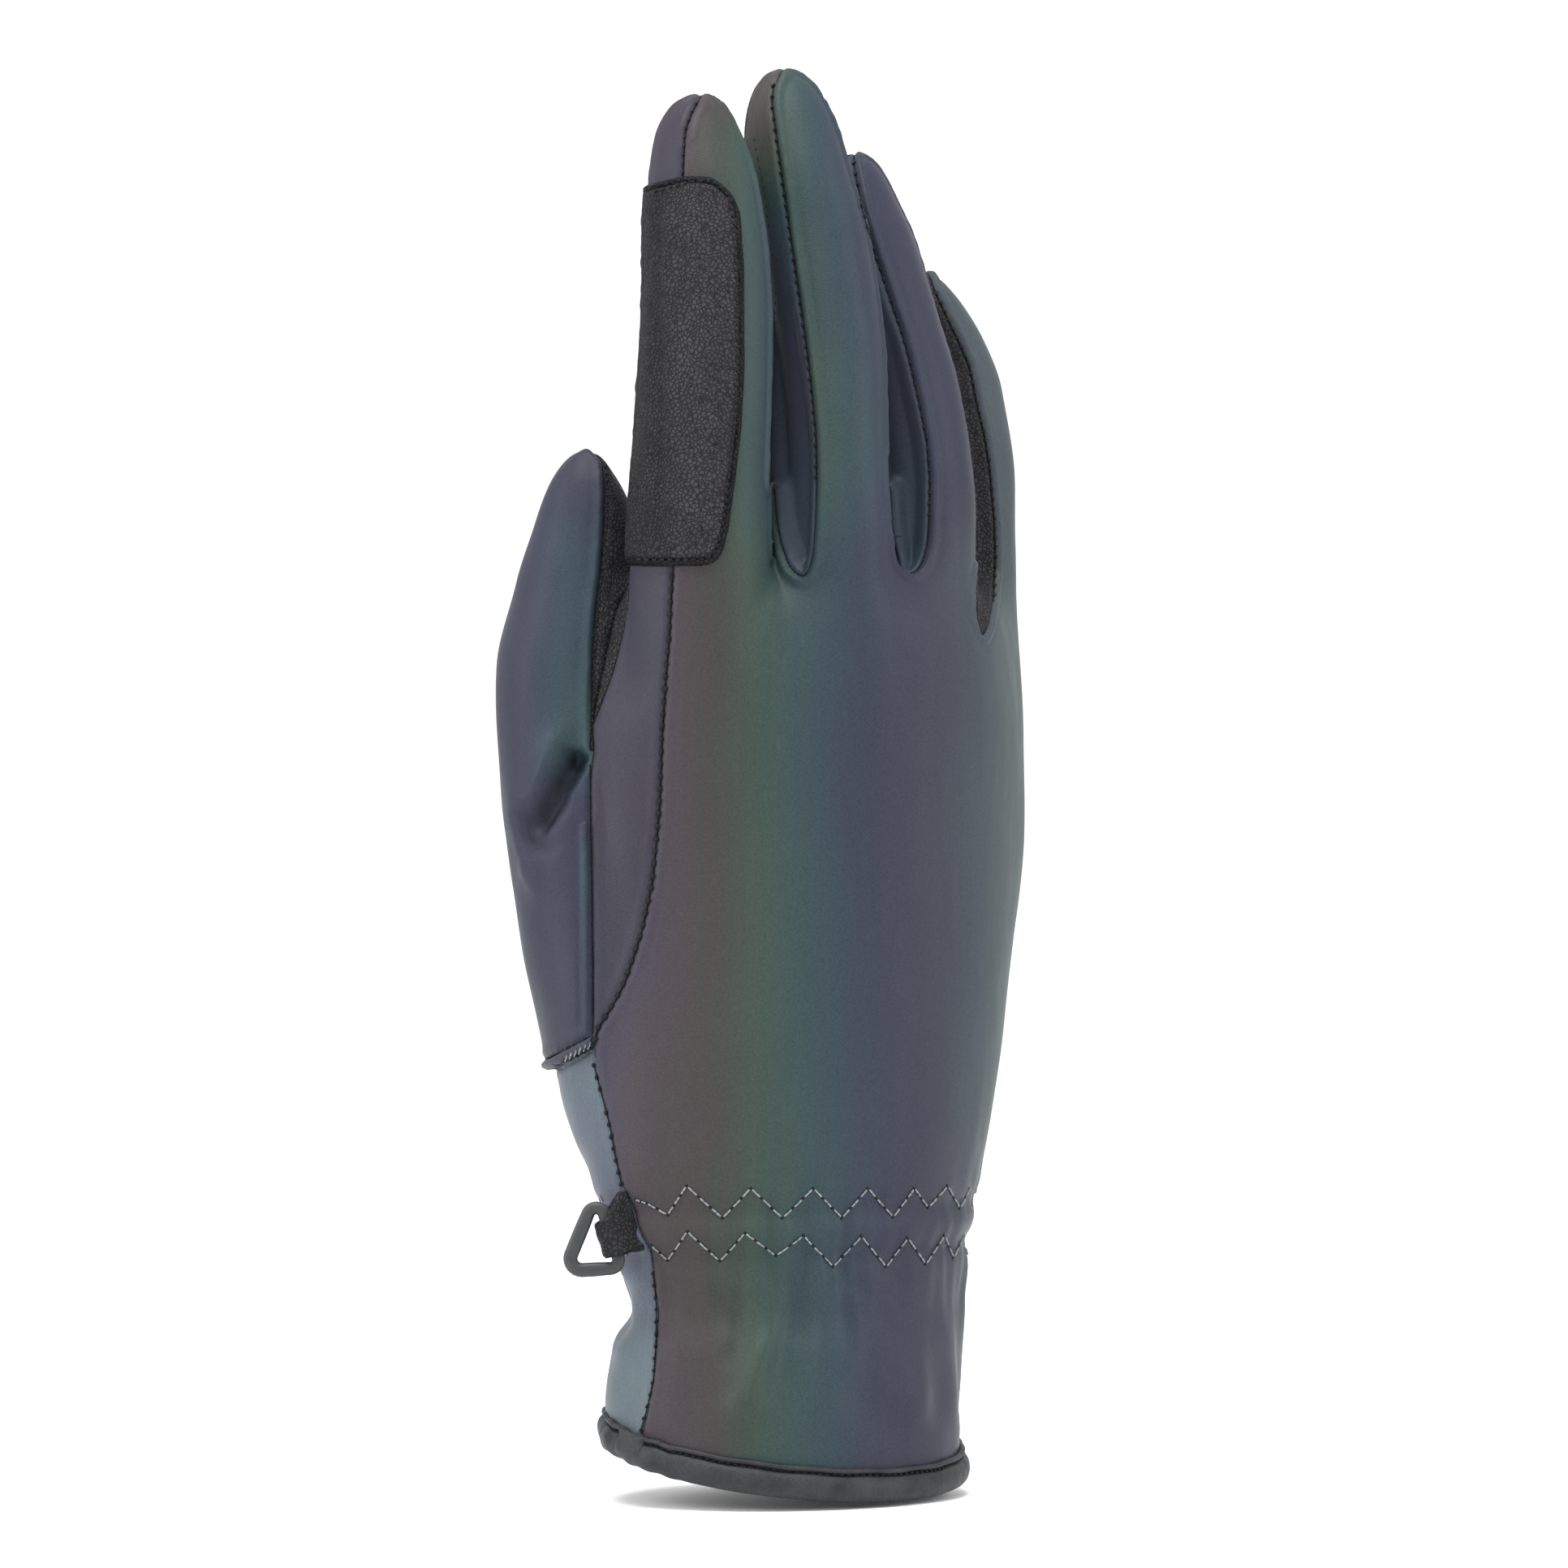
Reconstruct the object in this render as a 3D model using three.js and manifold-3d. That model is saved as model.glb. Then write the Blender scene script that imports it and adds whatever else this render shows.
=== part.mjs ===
// Riding glove for the right hand, shown in its worn, filled form. Millimetres.
// +Z runs to the fingertips, -Y is the back of the hand, -X is the thumb side.
// The origin is the middle of the slanted mouth of the cuff.
import * as THREE from "three";
import { mergeVertices } from "three/addons/utils/BufferGeometryUtils.js";
import Module from "manifold-3d";

// ---- sizes ----
const WALL = 1.6; // softshell wall
const GAP = 0.3; // space between neighbouring pieces
const PALM_SIDES = 26; // corners round the palm
const FINGER_SIDES = 14; // corners round a finger
const VIEW_DEG = 32; // the thumb-side seams are set out on a plane turned this far
const WEB_Z = 141.2; // underside of the webs between the fingers
const WEB_TOP = 149.5;
const SIDE_SEAM_DEG = 61; // back seam of each finger, from the middle of its back
const ULNAR_SEAM_DEG = -64; // the seam on the other side
const PALM_SEAM_DEG = 124; // palm seams of the fingers
const PALM_SEAM_Y = 8.6; // palm seam along the two edges of the hand
const THUMB_HEM_Z = 66; // turned edge of the thumb, at its inner end
const THUMB_HEM_SLOPE = 0.62;
const THUMB_HEM_TALL = 1.9;
const HEM_SLOPE_Y = 0.205; // slant of the cuff's mouth
const HEM_SLOPE_X = -0.048;
const BINDING = { low: 0, floor: 1.6, tall: 5.6, outer: 1.5, inner: 1.1 };
const PATCH = { from: 149.6, to: 215.2, start: 5, end: 118, thick: 1.1 };
const TAB = { upper: 2.6, lower: 3.5, rootWidth: 9.8, leaf: 0.8, length: 2.5, downDeg: 29 };
const RING = { upper: 7.45, lower: 5.74, tip: 3.38, reach: 9.13, wire: 1.15, corner: 1.4, tipCorner: 1.9 };

// ---- section tables: one row per section, sizes across (a) and through (b) ----
const ROW = (z, x, y, a, b, arch = 0) => ({ z, x, y, a, b, arch });
const FINGERS = {
  index: {
    roll: 4,
    rows: [
      ROW(114, -15.4, 0, 7.5, 8.5),
      ROW(135, -18.2, -2.4, 11.4, 12.2),
      ROW(153, -18.3, -3, 11.3, 11.9),
      ROW(194, -15.7, -1.6, 10.3, 10.9),
      ROW(214, -15.3, 1, 8.9, 9.1),
      ROW(221, -15.4, 2.2, 7.3, 7.2),
      ROW(225.8, -15, 3, 4.9, 4.7),
      ROW(228.1, -14.6, 3.4, 1.5, 1.5),
    ],
  },
  middle: {
    roll: 8,
    rows: [
      ROW(114, 5.6, -3.4, 6.6, 7.6),
      ROW(135, 4.5, -7.6, 9.9, 11.4),
      ROW(153, 3.6, -8.8, 9.9, 10.8),
      ROW(194, 5.4, -3.2, 9.2, 10.2),
      ROW(217, 3.7, 2.2, 8.4, 8.9),
      ROW(225, 3.9, 4.4, 7.2, 7.3),
      ROW(230.6, 3.9, 5.8, 5, 4.8),
      ROW(233.4, 3.6, 6.4, 1.5, 1.5),
    ],
  },
  ring: {
    roll: 34,
    rows: [
      ROW(114, 22.8, -1, 6.6, 7.2),
      ROW(133, 22.9, -3.8, 10, 10.8),
      ROW(149, 23.6, -4.4, 9.8, 9.9),
      ROW(165, 25, -2.6, 9.6, 9.5),
      ROW(181, 24.7, 1.2, 9.4, 9.2),
      ROW(195, 23.1, 5.4, 9, 8.7),
      ROW(206, 22.7, 9, 8.1, 7.7),
      ROW(213, 22.2, 11.2, 6.4, 6.1),
      ROW(217.9, 22.5, 12.6, 4.2, 4),
      ROW(220.4, 22.7, 13.3, 1.5, 1.5),
    ],
  },
  little: {
    roll: 42,
    rows: [
      ROW(104, 37.6, 6, 5.6, 6.4),
      ROW(125, 39.2, 7, 8.9, 9.8),
      ROW(141, 40.6, 7.2, 8.7, 9),
      ROW(169, 43.7, 10.8, 8.2, 8.1),
      ROW(181, 43.9, 13.4, 7.6, 7.4),
      ROW(190, 42.4, 15.6, 6.6, 6.4),
      ROW(195.8, 41.2, 17.1, 5.2, 4.9),
      ROW(199.3, 40.4, 18, 3.4, 3.2),
      ROW(201.3, 39.9, 18.4, 1.3, 1.3),
    ],
  },
};
const THUMB = {
  roll: -58,
  rows: [
    ROW(35, -6.9, 5, 7, 8),
    ROW(47, -15.4, 7.5, 14.6, 15),
    ROW(81, -24.4, 13.6, 15.2, 14.8),
    ROW(99, -27, 16.4, 14.4, 14),
    ROW(117, -29.5, 18.6, 13, 12.6),
    ROW(133, -30.4, 20, 12, 11.6),
    ROW(147, -27.7, 20.2, 10.8, 10.5),
    ROW(157, -26.9, 19.6, 8.6, 8.4),
    ROW(163.6, -27.2, 19.2, 6, 5.8),
    ROW(167, -27.5, 19, 3.6, 3.4),
    ROW(168.7, -27.6, 19, 1.4, 1.4),
  ],
};
const PALM = [
  ROW(-13, 0.1, 0, 31.1, 24.4, 0),
  ROW(19, 0.9, 0.2, 31, 23.2, 0),
  ROW(26.5, 2.5, 0.2, 29.9, 20.8, 0),
  ROW(39, 1.6, 0.4, 33.5, 21.4, 0.4),
  ROW(71, 5.3, 0.8, 38.7, 22, 3.6),
  ROW(105, 8.2, -1.2, 41.2, 19.2, 7.4),
  ROW(121, 8.3, -3.2, 41.2, 17.8, 9.4),
  ROW(133, 9.1, -4.6, 39.3, 16.2, 10.6),
  ROW(142, 10, -5.2, 37.2, 13.6, 11.4),
  ROW(148, 11.9, -5.2, 33.2, 9.6, 12),
];
// seam between the back and the thumb-side panels: height and distance across the turned plane
const BACK_SEAM = [
  { z: 149.5, u: -18.8 },
  { z: 137, u: -19.6 },
  { z: 115, u: -20.8 },
  { z: 96, u: -22.3 },
  { z: 88, u: -23.8 },
  { z: 80, u: -26.7 },
  { z: 76, u: -28.8 },
  { z: 72, u: -31.3 },
];
// seam between the back panel and the cuff's palm-side panel
const CUFF_SEAM = [
  { z: 72, u: -31.3 },
  { z: 66, u: -31.6 },
  { z: 57, u: -29.5 },
  { z: 45, u: -27.6 },
  { z: 36, u: -23.2 },
  { z: 26, u: -21.4 },
  { z: 17, u: -22.2 },
  { z: 6, u: -23.9 },
  { z: -14, u: -25.4 },
];

const RAD = Math.PI / 180;
const VC = Math.cos(VIEW_DEG * RAD);
const VS = Math.sin(VIEW_DEG * RAD);
const across = (u, d) => [u * VC + d * VS, -u * VS + d * VC]; // turned plane to x, y

const wasm = await Module();
wasm.setup();

// ---- solids ----
function solid(positions, index) {
  const geometry = new THREE.BufferGeometry();
  geometry.setAttribute(
    "position",
    new THREE.BufferAttribute(new Float32Array(positions.flat()), 3),
  );
  geometry.setIndex(index.flat());
  const merged = mergeVertices(geometry, 1e-4);
  let made = new wasm.Manifold(
    new wasm.Mesh({
      numProp: 3,
      vertProperties: merged.attributes.position.array,
      triVerts: new Uint32Array(merged.index.array),
    }),
  );
  if (made.volume() < 0) {
    const tri = Array.from(merged.index.array);
    for (let i = 0; i < tri.length; i += 3)
      [tri[i + 1], tri[i + 2]] = [tri[i + 2], tri[i + 1]];
    made = new wasm.Manifold(
      new wasm.Mesh({
        numProp: 3,
        vertProperties: merged.attributes.position.array,
        triVerts: new Uint32Array(tri),
      }),
    );
  }
  return made;
}

// A closed loft through rings of the same number of points.
function loft(rings) {
  const n = rings[0].length;
  const points = rings.flat();
  const faces = [];
  rings.slice(1).forEach((_, r) => {
    for (let i = 0; i < n; i++) {
      const a = r * n + i,
        b = r * n + ((i + 1) % n);
      faces.push([a, b, b + n], [a, b + n, a + n]);
    }
  });
  const middle = (ring) =>
    [0, 1, 2].map((k) => ring.reduce((s, p) => s + p[k], 0) / n);
  const low = points.push(middle(rings[0])) - 1;
  const top = points.push(middle(rings.at(-1))) - 1;
  const last = (rings.length - 1) * n;
  for (let i = 0; i < n; i++) {
    const j = (i + 1) % n;
    faces.push([low, j, i], [top, last + i, last + j]);
  }
  return solid(points, faces);
}

// A point of an elliptical section: turn is measured from the back towards the thumb.
function onSection(row, roll, turn, grow) {
  const r = roll * RAD;
  const a = row.a + grow,
    b = row.b + grow;
  const s = Math.sin(turn),
    c = Math.cos(turn);
  return [
    row.x + b * c * Math.sin(r) - a * s * Math.cos(r),
    row.y - b * c * Math.cos(r) - a * s * Math.sin(r),
    row.z,
  ];
}

// Rows of a finger made larger or smaller all round, its tip too.
function grown(rows, grow) {
  const last = rows.at(-1);
  return rows.map((row) =>
    row === last
      ? { ...row, z: row.z + grow, grow: 0 }
      : { ...row, grow: Math.max(grow, 1.2 - row.b) },
  );
}

function finger({ roll, rows }, grow = 0, sides = FINGER_SIDES) {
  return loft(
    grown(rows, grow).map((row) =>
      Array.from({ length: sides }, (_, i) =>
        onSection(row, roll, (i / sides) * 2 * Math.PI, row.grow),
      ),
    ),
  );
}

// The part of a finger between two turns, as a wedge from its middle line.
function sector({ roll, rows }, fromDeg, toDeg, lowZ, highZ, grow = 0.2) {
  const steps = Math.max(3, Math.round(Math.abs(toDeg - fromDeg) / 15));
  const kept = between(rows, lowZ, highZ);
  return loft(
    kept.map((row) => [
      [row.x, row.y, row.z],
      ...Array.from({ length: steps + 1 }, (_, i) =>
        onSection(
          row,
          roll,
          (fromDeg + ((toDeg - fromDeg) * i) / steps) * RAD,
          grow,
        ),
      ),
    ]),
  );
}

// Rows between two heights, with the ends put in.
function between(rows, lowZ, highZ) {
  const at = (z) => {
    const i = Math.max(
      1,
      rows.findIndex((row) => row.z >= z) === -1
        ? rows.length - 1
        : rows.findIndex((row) => row.z >= z),
    );
    const p = rows[i - 1],
      q = rows[i];
    const t = (z - p.z) / (q.z - p.z);
    const mix = (k) => p[k] + (q[k] - p[k]) * t;
    return { z, x: mix("x"), y: mix("y"), a: mix("a"), b: mix("b") };
  };
  const low = Math.max(lowZ, rows[0].z);
  const high = Math.min(highZ, rows.at(-1).z);
  const inner = rows.filter((row) => row.z > low + 0.5 && row.z < high - 0.5);
  const ends = [at(low), ...inner, at(high)];
  if (highZ > rows.at(-1).z)
    ends.push({ ...at(high), z: rows.at(-1).z + 0.5 });
  return ends;
}

function palm(grow = 0, topDrop = 0) {
  return loft(
    PALM.map((row, k) =>
      Array.from({ length: PALM_SIDES }, (_, i) => {
        const turn = (i / PALM_SIDES) * 2 * Math.PI;
        const s = Math.sin(turn),
          c = Math.cos(turn);
        return [
          row.x - (row.a + grow) * s,
          row.y - (row.b + grow) * c + row.arch * s * s,
          row.z - (k === PALM.length - 1 ? topDrop : 0),
        ];
      }),
    ),
  );
}

// A flat outline of [u, z] points pushed through the glove along the turned depth.
function slab(outline, near, far) {
  return loft(
    [near, far].map((d) =>
      outline.map(({ u, z }) => {
        const [x, y] = across(u, d);
        return [x, y, z];
      }),
    ),
  );
}

function block(x0, x1, y0, y1, z0, z1) {
  return loft(
    [z0, z1].map((z) => [
      [x0, y0, z],
      [x1, y0, z],
      [x1, y1, z],
      [x0, y1, z],
    ]),
  );
}

// Everything above or below the slanted mouth, moved up by lift.
function aboveHem(lift, top = 300) {
  const reach = 80;
  const corner = (x, y) => [x, y, HEM_SLOPE_Y * y + HEM_SLOPE_X * x + lift];
  const corners = [
    [-reach, -reach],
    [reach, -reach],
    [reach, reach],
    [-reach, reach],
  ];
  return loft([
    corners.map(([x, y]) => corner(x, y)),
    corners.map(([x, y]) => [x, y, top]),
  ]);
}

const join = (...parts) => parts.reduce((a, b) => a.add(b));
const names = Object.keys(FINGERS);

// ---- the whole hollow glove ----
const outerPalm = palm();
const outer = join(
  outerPalm,
  finger(THUMB),
  ...names.map((k) => finger(FINGERS[k])),
);
const inner = join(
  palm(-WALL, WALL),
  finger(THUMB, -WALL),
  ...names.map((k) => finger(FINGERS[k], -WALL)),
);
let rest = outer
  .subtract(inner)
  .intersect(aboveHem(BINDING.low + BINDING.floor + GAP));

const pieces = {};
// Takes a region out of what is left, and leaves the gap round it.
function take(name, region, wider) {
  pieces[name] = rest.intersect(region);
  rest = rest.subtract(region.add(wider));
}

// ---- thumb: everything of it that stands clear of the hand, above its hem ----
const hemPlane = (lift) =>
  slab(
    [
      { u: -80, z: THUMB_HEM_Z + lift - THUMB_HEM_SLOPE * 48 },
      { u: 12, z: THUMB_HEM_Z + lift + THUMB_HEM_SLOPE * 44 },
      { u: 12, z: 200 },
      { u: -80, z: 200 },
    ],
    -60,
    90,
  );
const thumbPart = (margin, lift, clear) =>
  finger(THUMB, margin).intersect(hemPlane(lift)).subtract(palm(clear, 0));
const thumbAll = rest.intersect(
  thumbPart(0.4, 0, GAP)
    .subtract(finger(FINGERS.index, 0.1)),
);
rest = rest.subtract(thumbPart(0.8, -GAP, 0));
const bandRegion = hemPlane(-1).subtract(hemPlane(THUMB_HEM_TALL));
const bandRegionWide = hemPlane(-1).subtract(hemPlane(THUMB_HEM_TALL + GAP));
pieces.thumb_hem = thumbAll.intersect(bandRegion);
const thumbUpper = thumbAll.subtract(bandRegionWide);
const GRIP = { from: -168, to: -42, low: 60 };
const thumbGap = 1.4;
pieces.thumb_grip = thumbUpper.intersect(
  sector(THUMB, GRIP.from, GRIP.to, GRIP.low, 172, 0.6),
);
pieces.thumb_back = thumbUpper.subtract(
  sector(THUMB, GRIP.from - thumbGap, GRIP.to + thumbGap, GRIP.low - 1, 172, 1),
);

// ---- fourchettes: the strips between the fingers, joined by a web ----
const pairs = [
  ["index", "middle"],
  ["middle", "ring"],
  ["ring", "little"],
];
const turnGap = 1.7; // degrees that make the gap on a finger
const centreAt = (name, z) => {
  const [row] = between(FINGERS[name].rows, z, z + 3);
  return row;
};
for (const [first, second] of pairs) {
  const strip = (turn, drop) => {
    const p = centreAt(first, 146),
      q = centreAt(second, 146);
    const dx = q.x - p.x,
      dy = q.y - p.y;
    const long = Math.hypot(dx, dy);
    const along = (t, w) => [
      p.x + (dx / long) * t - (dy / long) * w,
      p.y + (dy / long) * t + (dx / long) * w,
    ];
    const side = 9.2 + drop;
    const web = loft(
      [WEB_Z - drop + 3.4, WEB_TOP + drop].map((z) =>
        [
          along(2.5, -side),
          along(long - 2.5, -side),
          along(long - 2.5, side),
          along(2.5, side),
        ].map(([x, y]) => [x, y, z]),
      ),
    );
    return join(
      sector(FINGERS[first], -PALM_SEAM_DEG - turn, ULNAR_SEAM_DEG + turn, WEB_Z + 3.4 - drop, 240, 0.25),
      sector(FINGERS[second], SIDE_SEAM_DEG - turn, PALM_SEAM_DEG + turn, WEB_Z + 3.4 - drop, 240, 0.25),
      web,
    );
  };
  take(`fourchette_${first}_${second}`, strip(0, 0), strip(turnGap, GAP));
}

// ---- palm: the palm side of the hand and of the four fingers, above the cuff ----
const CUFF_TOP = 64; // the cuff's palm-side panel ends here
const palmRegion = (turn, shift) =>
  join(
    block(-60, 70, PALM_SEAM_Y - shift, 60, CUFF_TOP - shift, 151),
    block(-13, 36, 1 - shift, 60, 120, 151),
    ...names.map((k) =>
      sector(
        FINGERS[k],
        PALM_SEAM_DEG - turn,
        360 - PALM_SEAM_DEG + turn,
        WEB_Z + 3 - shift,
        240,
        0.3,
      ),
    ),
  );
take("palm_panel", palmRegion(0, 0), palmRegion(turnGap, GAP));

// ---- thumb-side panel: the index finger's side and the edge of the hand ----
const sideRegion = (turn, shift) =>
  join(
    slab(
      [
        ...BACK_SEAM.map(({ z, u }) => ({ z, u: u + shift })),
        { u: -60, z: 72 - shift },
        { u: -60, z: 149.5 },
      ],
      -60,
      30,
    ),
    sector(
      FINGERS.index,
      SIDE_SEAM_DEG - turn,
      PALM_SEAM_DEG + 3,
      WEB_Z + 3 - shift,
      240,
      0.3,
    ),
  );
take("index_side_panel", sideRegion(0, 0), sideRegion(turnGap, GAP));

// ---- cuff: its palm-side panel goes round from the thumb-side seam to the other edge ----
const cuffRegion = (shift) =>
  join(
    slab(
      [
        ...CUFF_SEAM.map(({ z, u }) => ({ z, u: u + shift })),
        { u: -80, z: -14 },
        { u: -80, z: 72 + shift },
      ],
      -60,
      90,
    ),
    block(-40, 70, 5 - shift, 60, -20, CUFF_TOP - GAP + shift),
  );
take("wrist_side_panel", cuffRegion(0), cuffRegion(GAP));
pieces.back_panel = rest;

// ---- cuff binding: a folded strip round the hem ----
{
  const skin = palm(BINDING.outer).subtract(palm(-WALL - GAP - BINDING.inner));
  const groove = palm(GAP).subtract(palm(-WALL - GAP));
  pieces.cuff_binding = skin
    .intersect(aboveHem(BINDING.low).subtract(aboveHem(BINDING.tall)))
    .subtract(groove.intersect(aboveHem(BINDING.floor)));
}

// ---- reinforcement patch on the index finger ----
{
  const { from, to, start, end, thick } = PATCH;
  const cover = (grow) => sector(FINGERS.index, start, end, from, to, grow);
  const body = (grow) =>
    loft(
      between(FINGERS.index.rows, from - 4, to + 4).map((row) =>
        Array.from({ length: 24 }, (_, i) =>
          onSection(row, FINGERS.index.roll, (i / 24) * 2 * Math.PI, grow),
        ),
      ),
    );
  pieces.index_patch = cover(4)
    .intersect(body(GAP + thick))
    .subtract(body(GAP));
}

// ---- tab and hook ring at the thumb-side cuff seam ----
const ROOT = { u: -24.9, z: 39.65, standoff: 1.9 };
const unit = (v) => v.clone().normalize();
const turned = (u, d, z) => {
  const [x, y] = across(u, d);
  return new THREE.Vector3(x, y, z);
};
const outwards = unit(turned(-0.94, -0.34, 0));
const barWay = unit(turned(0.305, 0, -0.952)); // along the bar, downwards
const hang = (() => {
  const down = outwards
    .clone()
    .multiplyScalar(Math.cos(TAB.downDeg * RAD))
    .add(new THREE.Vector3(0, 0, -Math.sin(TAB.downDeg * RAD)));
  return unit(down.sub(barWay.clone().multiplyScalar(down.dot(barWay))));
})();
const across3 = unit(new THREE.Vector3().crossVectors(barWay, hang));
const rootDepth = -18.9;
const root = turned(ROOT.u, rootDepth, ROOT.z).add(
  turned(-0.718, -0.695, 0).multiplyScalar(ROOT.standoff),
);
const barMiddle = root.clone().add(hang.clone().multiplyScalar(TAB.length));

// A point of the frame of the bar: s along the bar, t away from the cuff, w through the tab.
const local = (s, t, w, base = barMiddle, way = hang) =>
  base
    .clone()
    .add(barWay.clone().multiplyScalar(s))
    .add(way.clone().multiplyScalar(t))
    .add(
      unit(new THREE.Vector3().crossVectors(barWay, way)).multiplyScalar(w),
    )
    .toArray();
{
  const holeR = RING.wire + 0.25;
  const eyeR = holeR + TAB.leaf;
  const sides = 16;
  // edges of the tab at a distance t from the bar: end -1 is the upper one
  const edge = (end, t) => {
    const atBar = end < 0 ? TAB.upper : TAB.lower;
    return end * (atBar + (TAB.rootWidth / 2 - atBar) * Math.min(1, -t / TAB.length));
  };
  const eye = (radius, extra) =>
    loft(
      [-1, 1].map((end) =>
        Array.from({ length: sides }, (_, i) => {
          const angle = (i / sides) * 2 * Math.PI;
          const t = radius * Math.cos(angle);
          return local(
            edge(end, 0) + end * extra,
            t,
            radius * Math.sin(angle),
          );
        }),
      ),
    );
  const tongue = loft(
    [-TAB.length, -holeR * 0.6].map((t) =>
      [
        [-1, -1],
        [1, -1],
        [1, 1],
        [-1, 1],
      ].map(([e, f]) =>
        local(edge(e, t), t, f * (TAB.leaf + 0.35)),
      ),
    ),
  );
  pieces.ring_tab = join(eye(eyeR, 0), tongue).subtract(eye(holeR, 5));
}
// the ring hangs in the upright plane of its bar
const ringWay = (() => {
  const down = new THREE.Vector3(0, 0, -1);
  return unit(down.sub(barWay.clone().multiplyScalar(down.dot(barWay))));
})();
{
  const corners = [
    { s: -RING.upper, t: 0, round: RING.corner },
    { s: RING.lower, t: 0, round: RING.corner },
    { s: RING.tip, t: RING.reach, round: RING.tipCorner },
  ];
  // a triangle with round corners, along the middle of the wire
  const path = [];
  const steps = 5;
  corners.forEach((corner, i) => {
    const way = (p) => {
      const long = Math.hypot(p.s - corner.s, p.t - corner.t);
      return { s: (p.s - corner.s) / long, t: (p.t - corner.t) / long };
    };
    const a = way(corners[(i + corners.length - 1) % corners.length]);
    const b = way(corners[(i + 1) % corners.length]);
    const half = Math.acos(a.s * b.s + a.t * b.t) / 2; // half of the inside angle
    const reach = corner.round / Math.sin(half);
    const mid = Math.hypot(a.s + b.s, a.t + b.t);
    const centre = {
      s: corner.s + ((a.s + b.s) / mid) * reach,
      t: corner.t + ((a.t + b.t) / mid) * reach,
    };
    const foot = corner.round / Math.tan(half);
    const from = Math.atan2(
      corner.t + a.t * foot - centre.t,
      corner.s + a.s * foot - centre.s,
    );
    const to = Math.atan2(
      corner.t + b.t * foot - centre.t,
      corner.s + b.s * foot - centre.s,
    );
    let turn = to - from;
    if (turn > Math.PI) turn -= 2 * Math.PI;
    if (turn < -Math.PI) turn += 2 * Math.PI;
    for (let j = 0; j <= steps; j++) {
      const angle = from + (turn * j) / steps;
      path.push({
        s: centre.s + corner.round * Math.cos(angle),
        t: centre.t + corner.round * Math.sin(angle),
      });
    }
  });
  const sides = 8;
  const rings = path.map((p, i) => {
    const before = path[(i + path.length - 1) % path.length];
    const after = path[(i + 1) % path.length];
    const ds = after.s - before.s,
      dt = after.t - before.t;
    const long = Math.hypot(ds, dt);
    return Array.from({ length: sides }, (_, k) => {
      const angle = (k / sides) * 2 * Math.PI;
      const out = RING.wire * Math.cos(angle);
      return local(
        p.s + (dt / long) * out,
        p.t - (ds / long) * out,
        RING.wire * Math.sin(angle),
        barMiddle,
        ringWay,
      );
    });
  });
  const points = rings.flat();
  const faces = [];
  rings.forEach((_, r) => {
    for (let i = 0; i < sides; i++) {
      const next = ((r + 1) % rings.length) * sides;
      const a = r * sides + i,
        b = r * sides + ((i + 1) % sides),
        c = next + ((i + 1) % sides),
        d = next + i;
      faces.push([a, b, c], [a, c, d]);
    }
  });
  pieces.hook_ring = solid(points, faces);
}

// ---- colours ----
const SHELL = { color: 0x4a5660, roughness: 0.5, metalness: 0 };
const GRIP_SKIN = { color: 0x26272a, roughness: 0.62, metalness: 0 };
const LOOKS = {
  back_panel: SHELL,
  index_side_panel: { ...SHELL, color: 0x4e4f62 },
  wrist_side_panel: { ...SHELL, color: 0x54646e },
  thumb_back: { ...SHELL, color: 0x4c5568 },
  thumb_hem: { ...SHELL, color: 0x596270 },
  fourchette_index_middle: { ...SHELL, color: 0x46516a },
  fourchette_middle_ring: { ...SHELL, color: 0x474b60 },
  fourchette_ring_little: GRIP_SKIN,
  palm_panel: GRIP_SKIN,
  thumb_grip: GRIP_SKIN,
  index_patch: { ...GRIP_SKIN, color: 0x222326 },
  cuff_binding: { color: 0x33363a, roughness: 0.6, metalness: 0 },
  ring_tab: { ...GRIP_SKIN, color: 0x2c2d30 },
  hook_ring: { color: 0x35383b, roughness: 0.42, metalness: 0 },
};

const group = new THREE.Group();
group.name = "riding_glove";
for (const [name, look] of Object.entries(LOOKS)) {
  // chips left by the cuts are not pieces
  const parts = pieces[name].decompose().sort((p, q) => q.volume() - p.volume());
  const cut = parts[0].getMesh();
  const geometry = new THREE.BufferGeometry();
  geometry.setAttribute(
    "position",
    new THREE.BufferAttribute(new Float32Array(cut.vertProperties), 3),
  );
  geometry.setIndex(new THREE.BufferAttribute(new Uint32Array(cut.triVerts), 1));
  const mesh = new THREE.Mesh(
    geometry,
    new THREE.MeshStandardMaterial(look),
  );
  mesh.name = name;
  group.add(mesh);
  console.log(
    name,
    cut.triVerts.length / 3,
    "triangles",
    parts.map((p) => p.volume().toFixed(1)).slice(0, 6).join(" "),
  );
}

export default group;
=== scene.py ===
import math

import bpy
import numpy as np
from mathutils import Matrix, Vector
from mathutils.bvhtree import BVHTree
from mathutils.kdtree import KDTree


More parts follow.
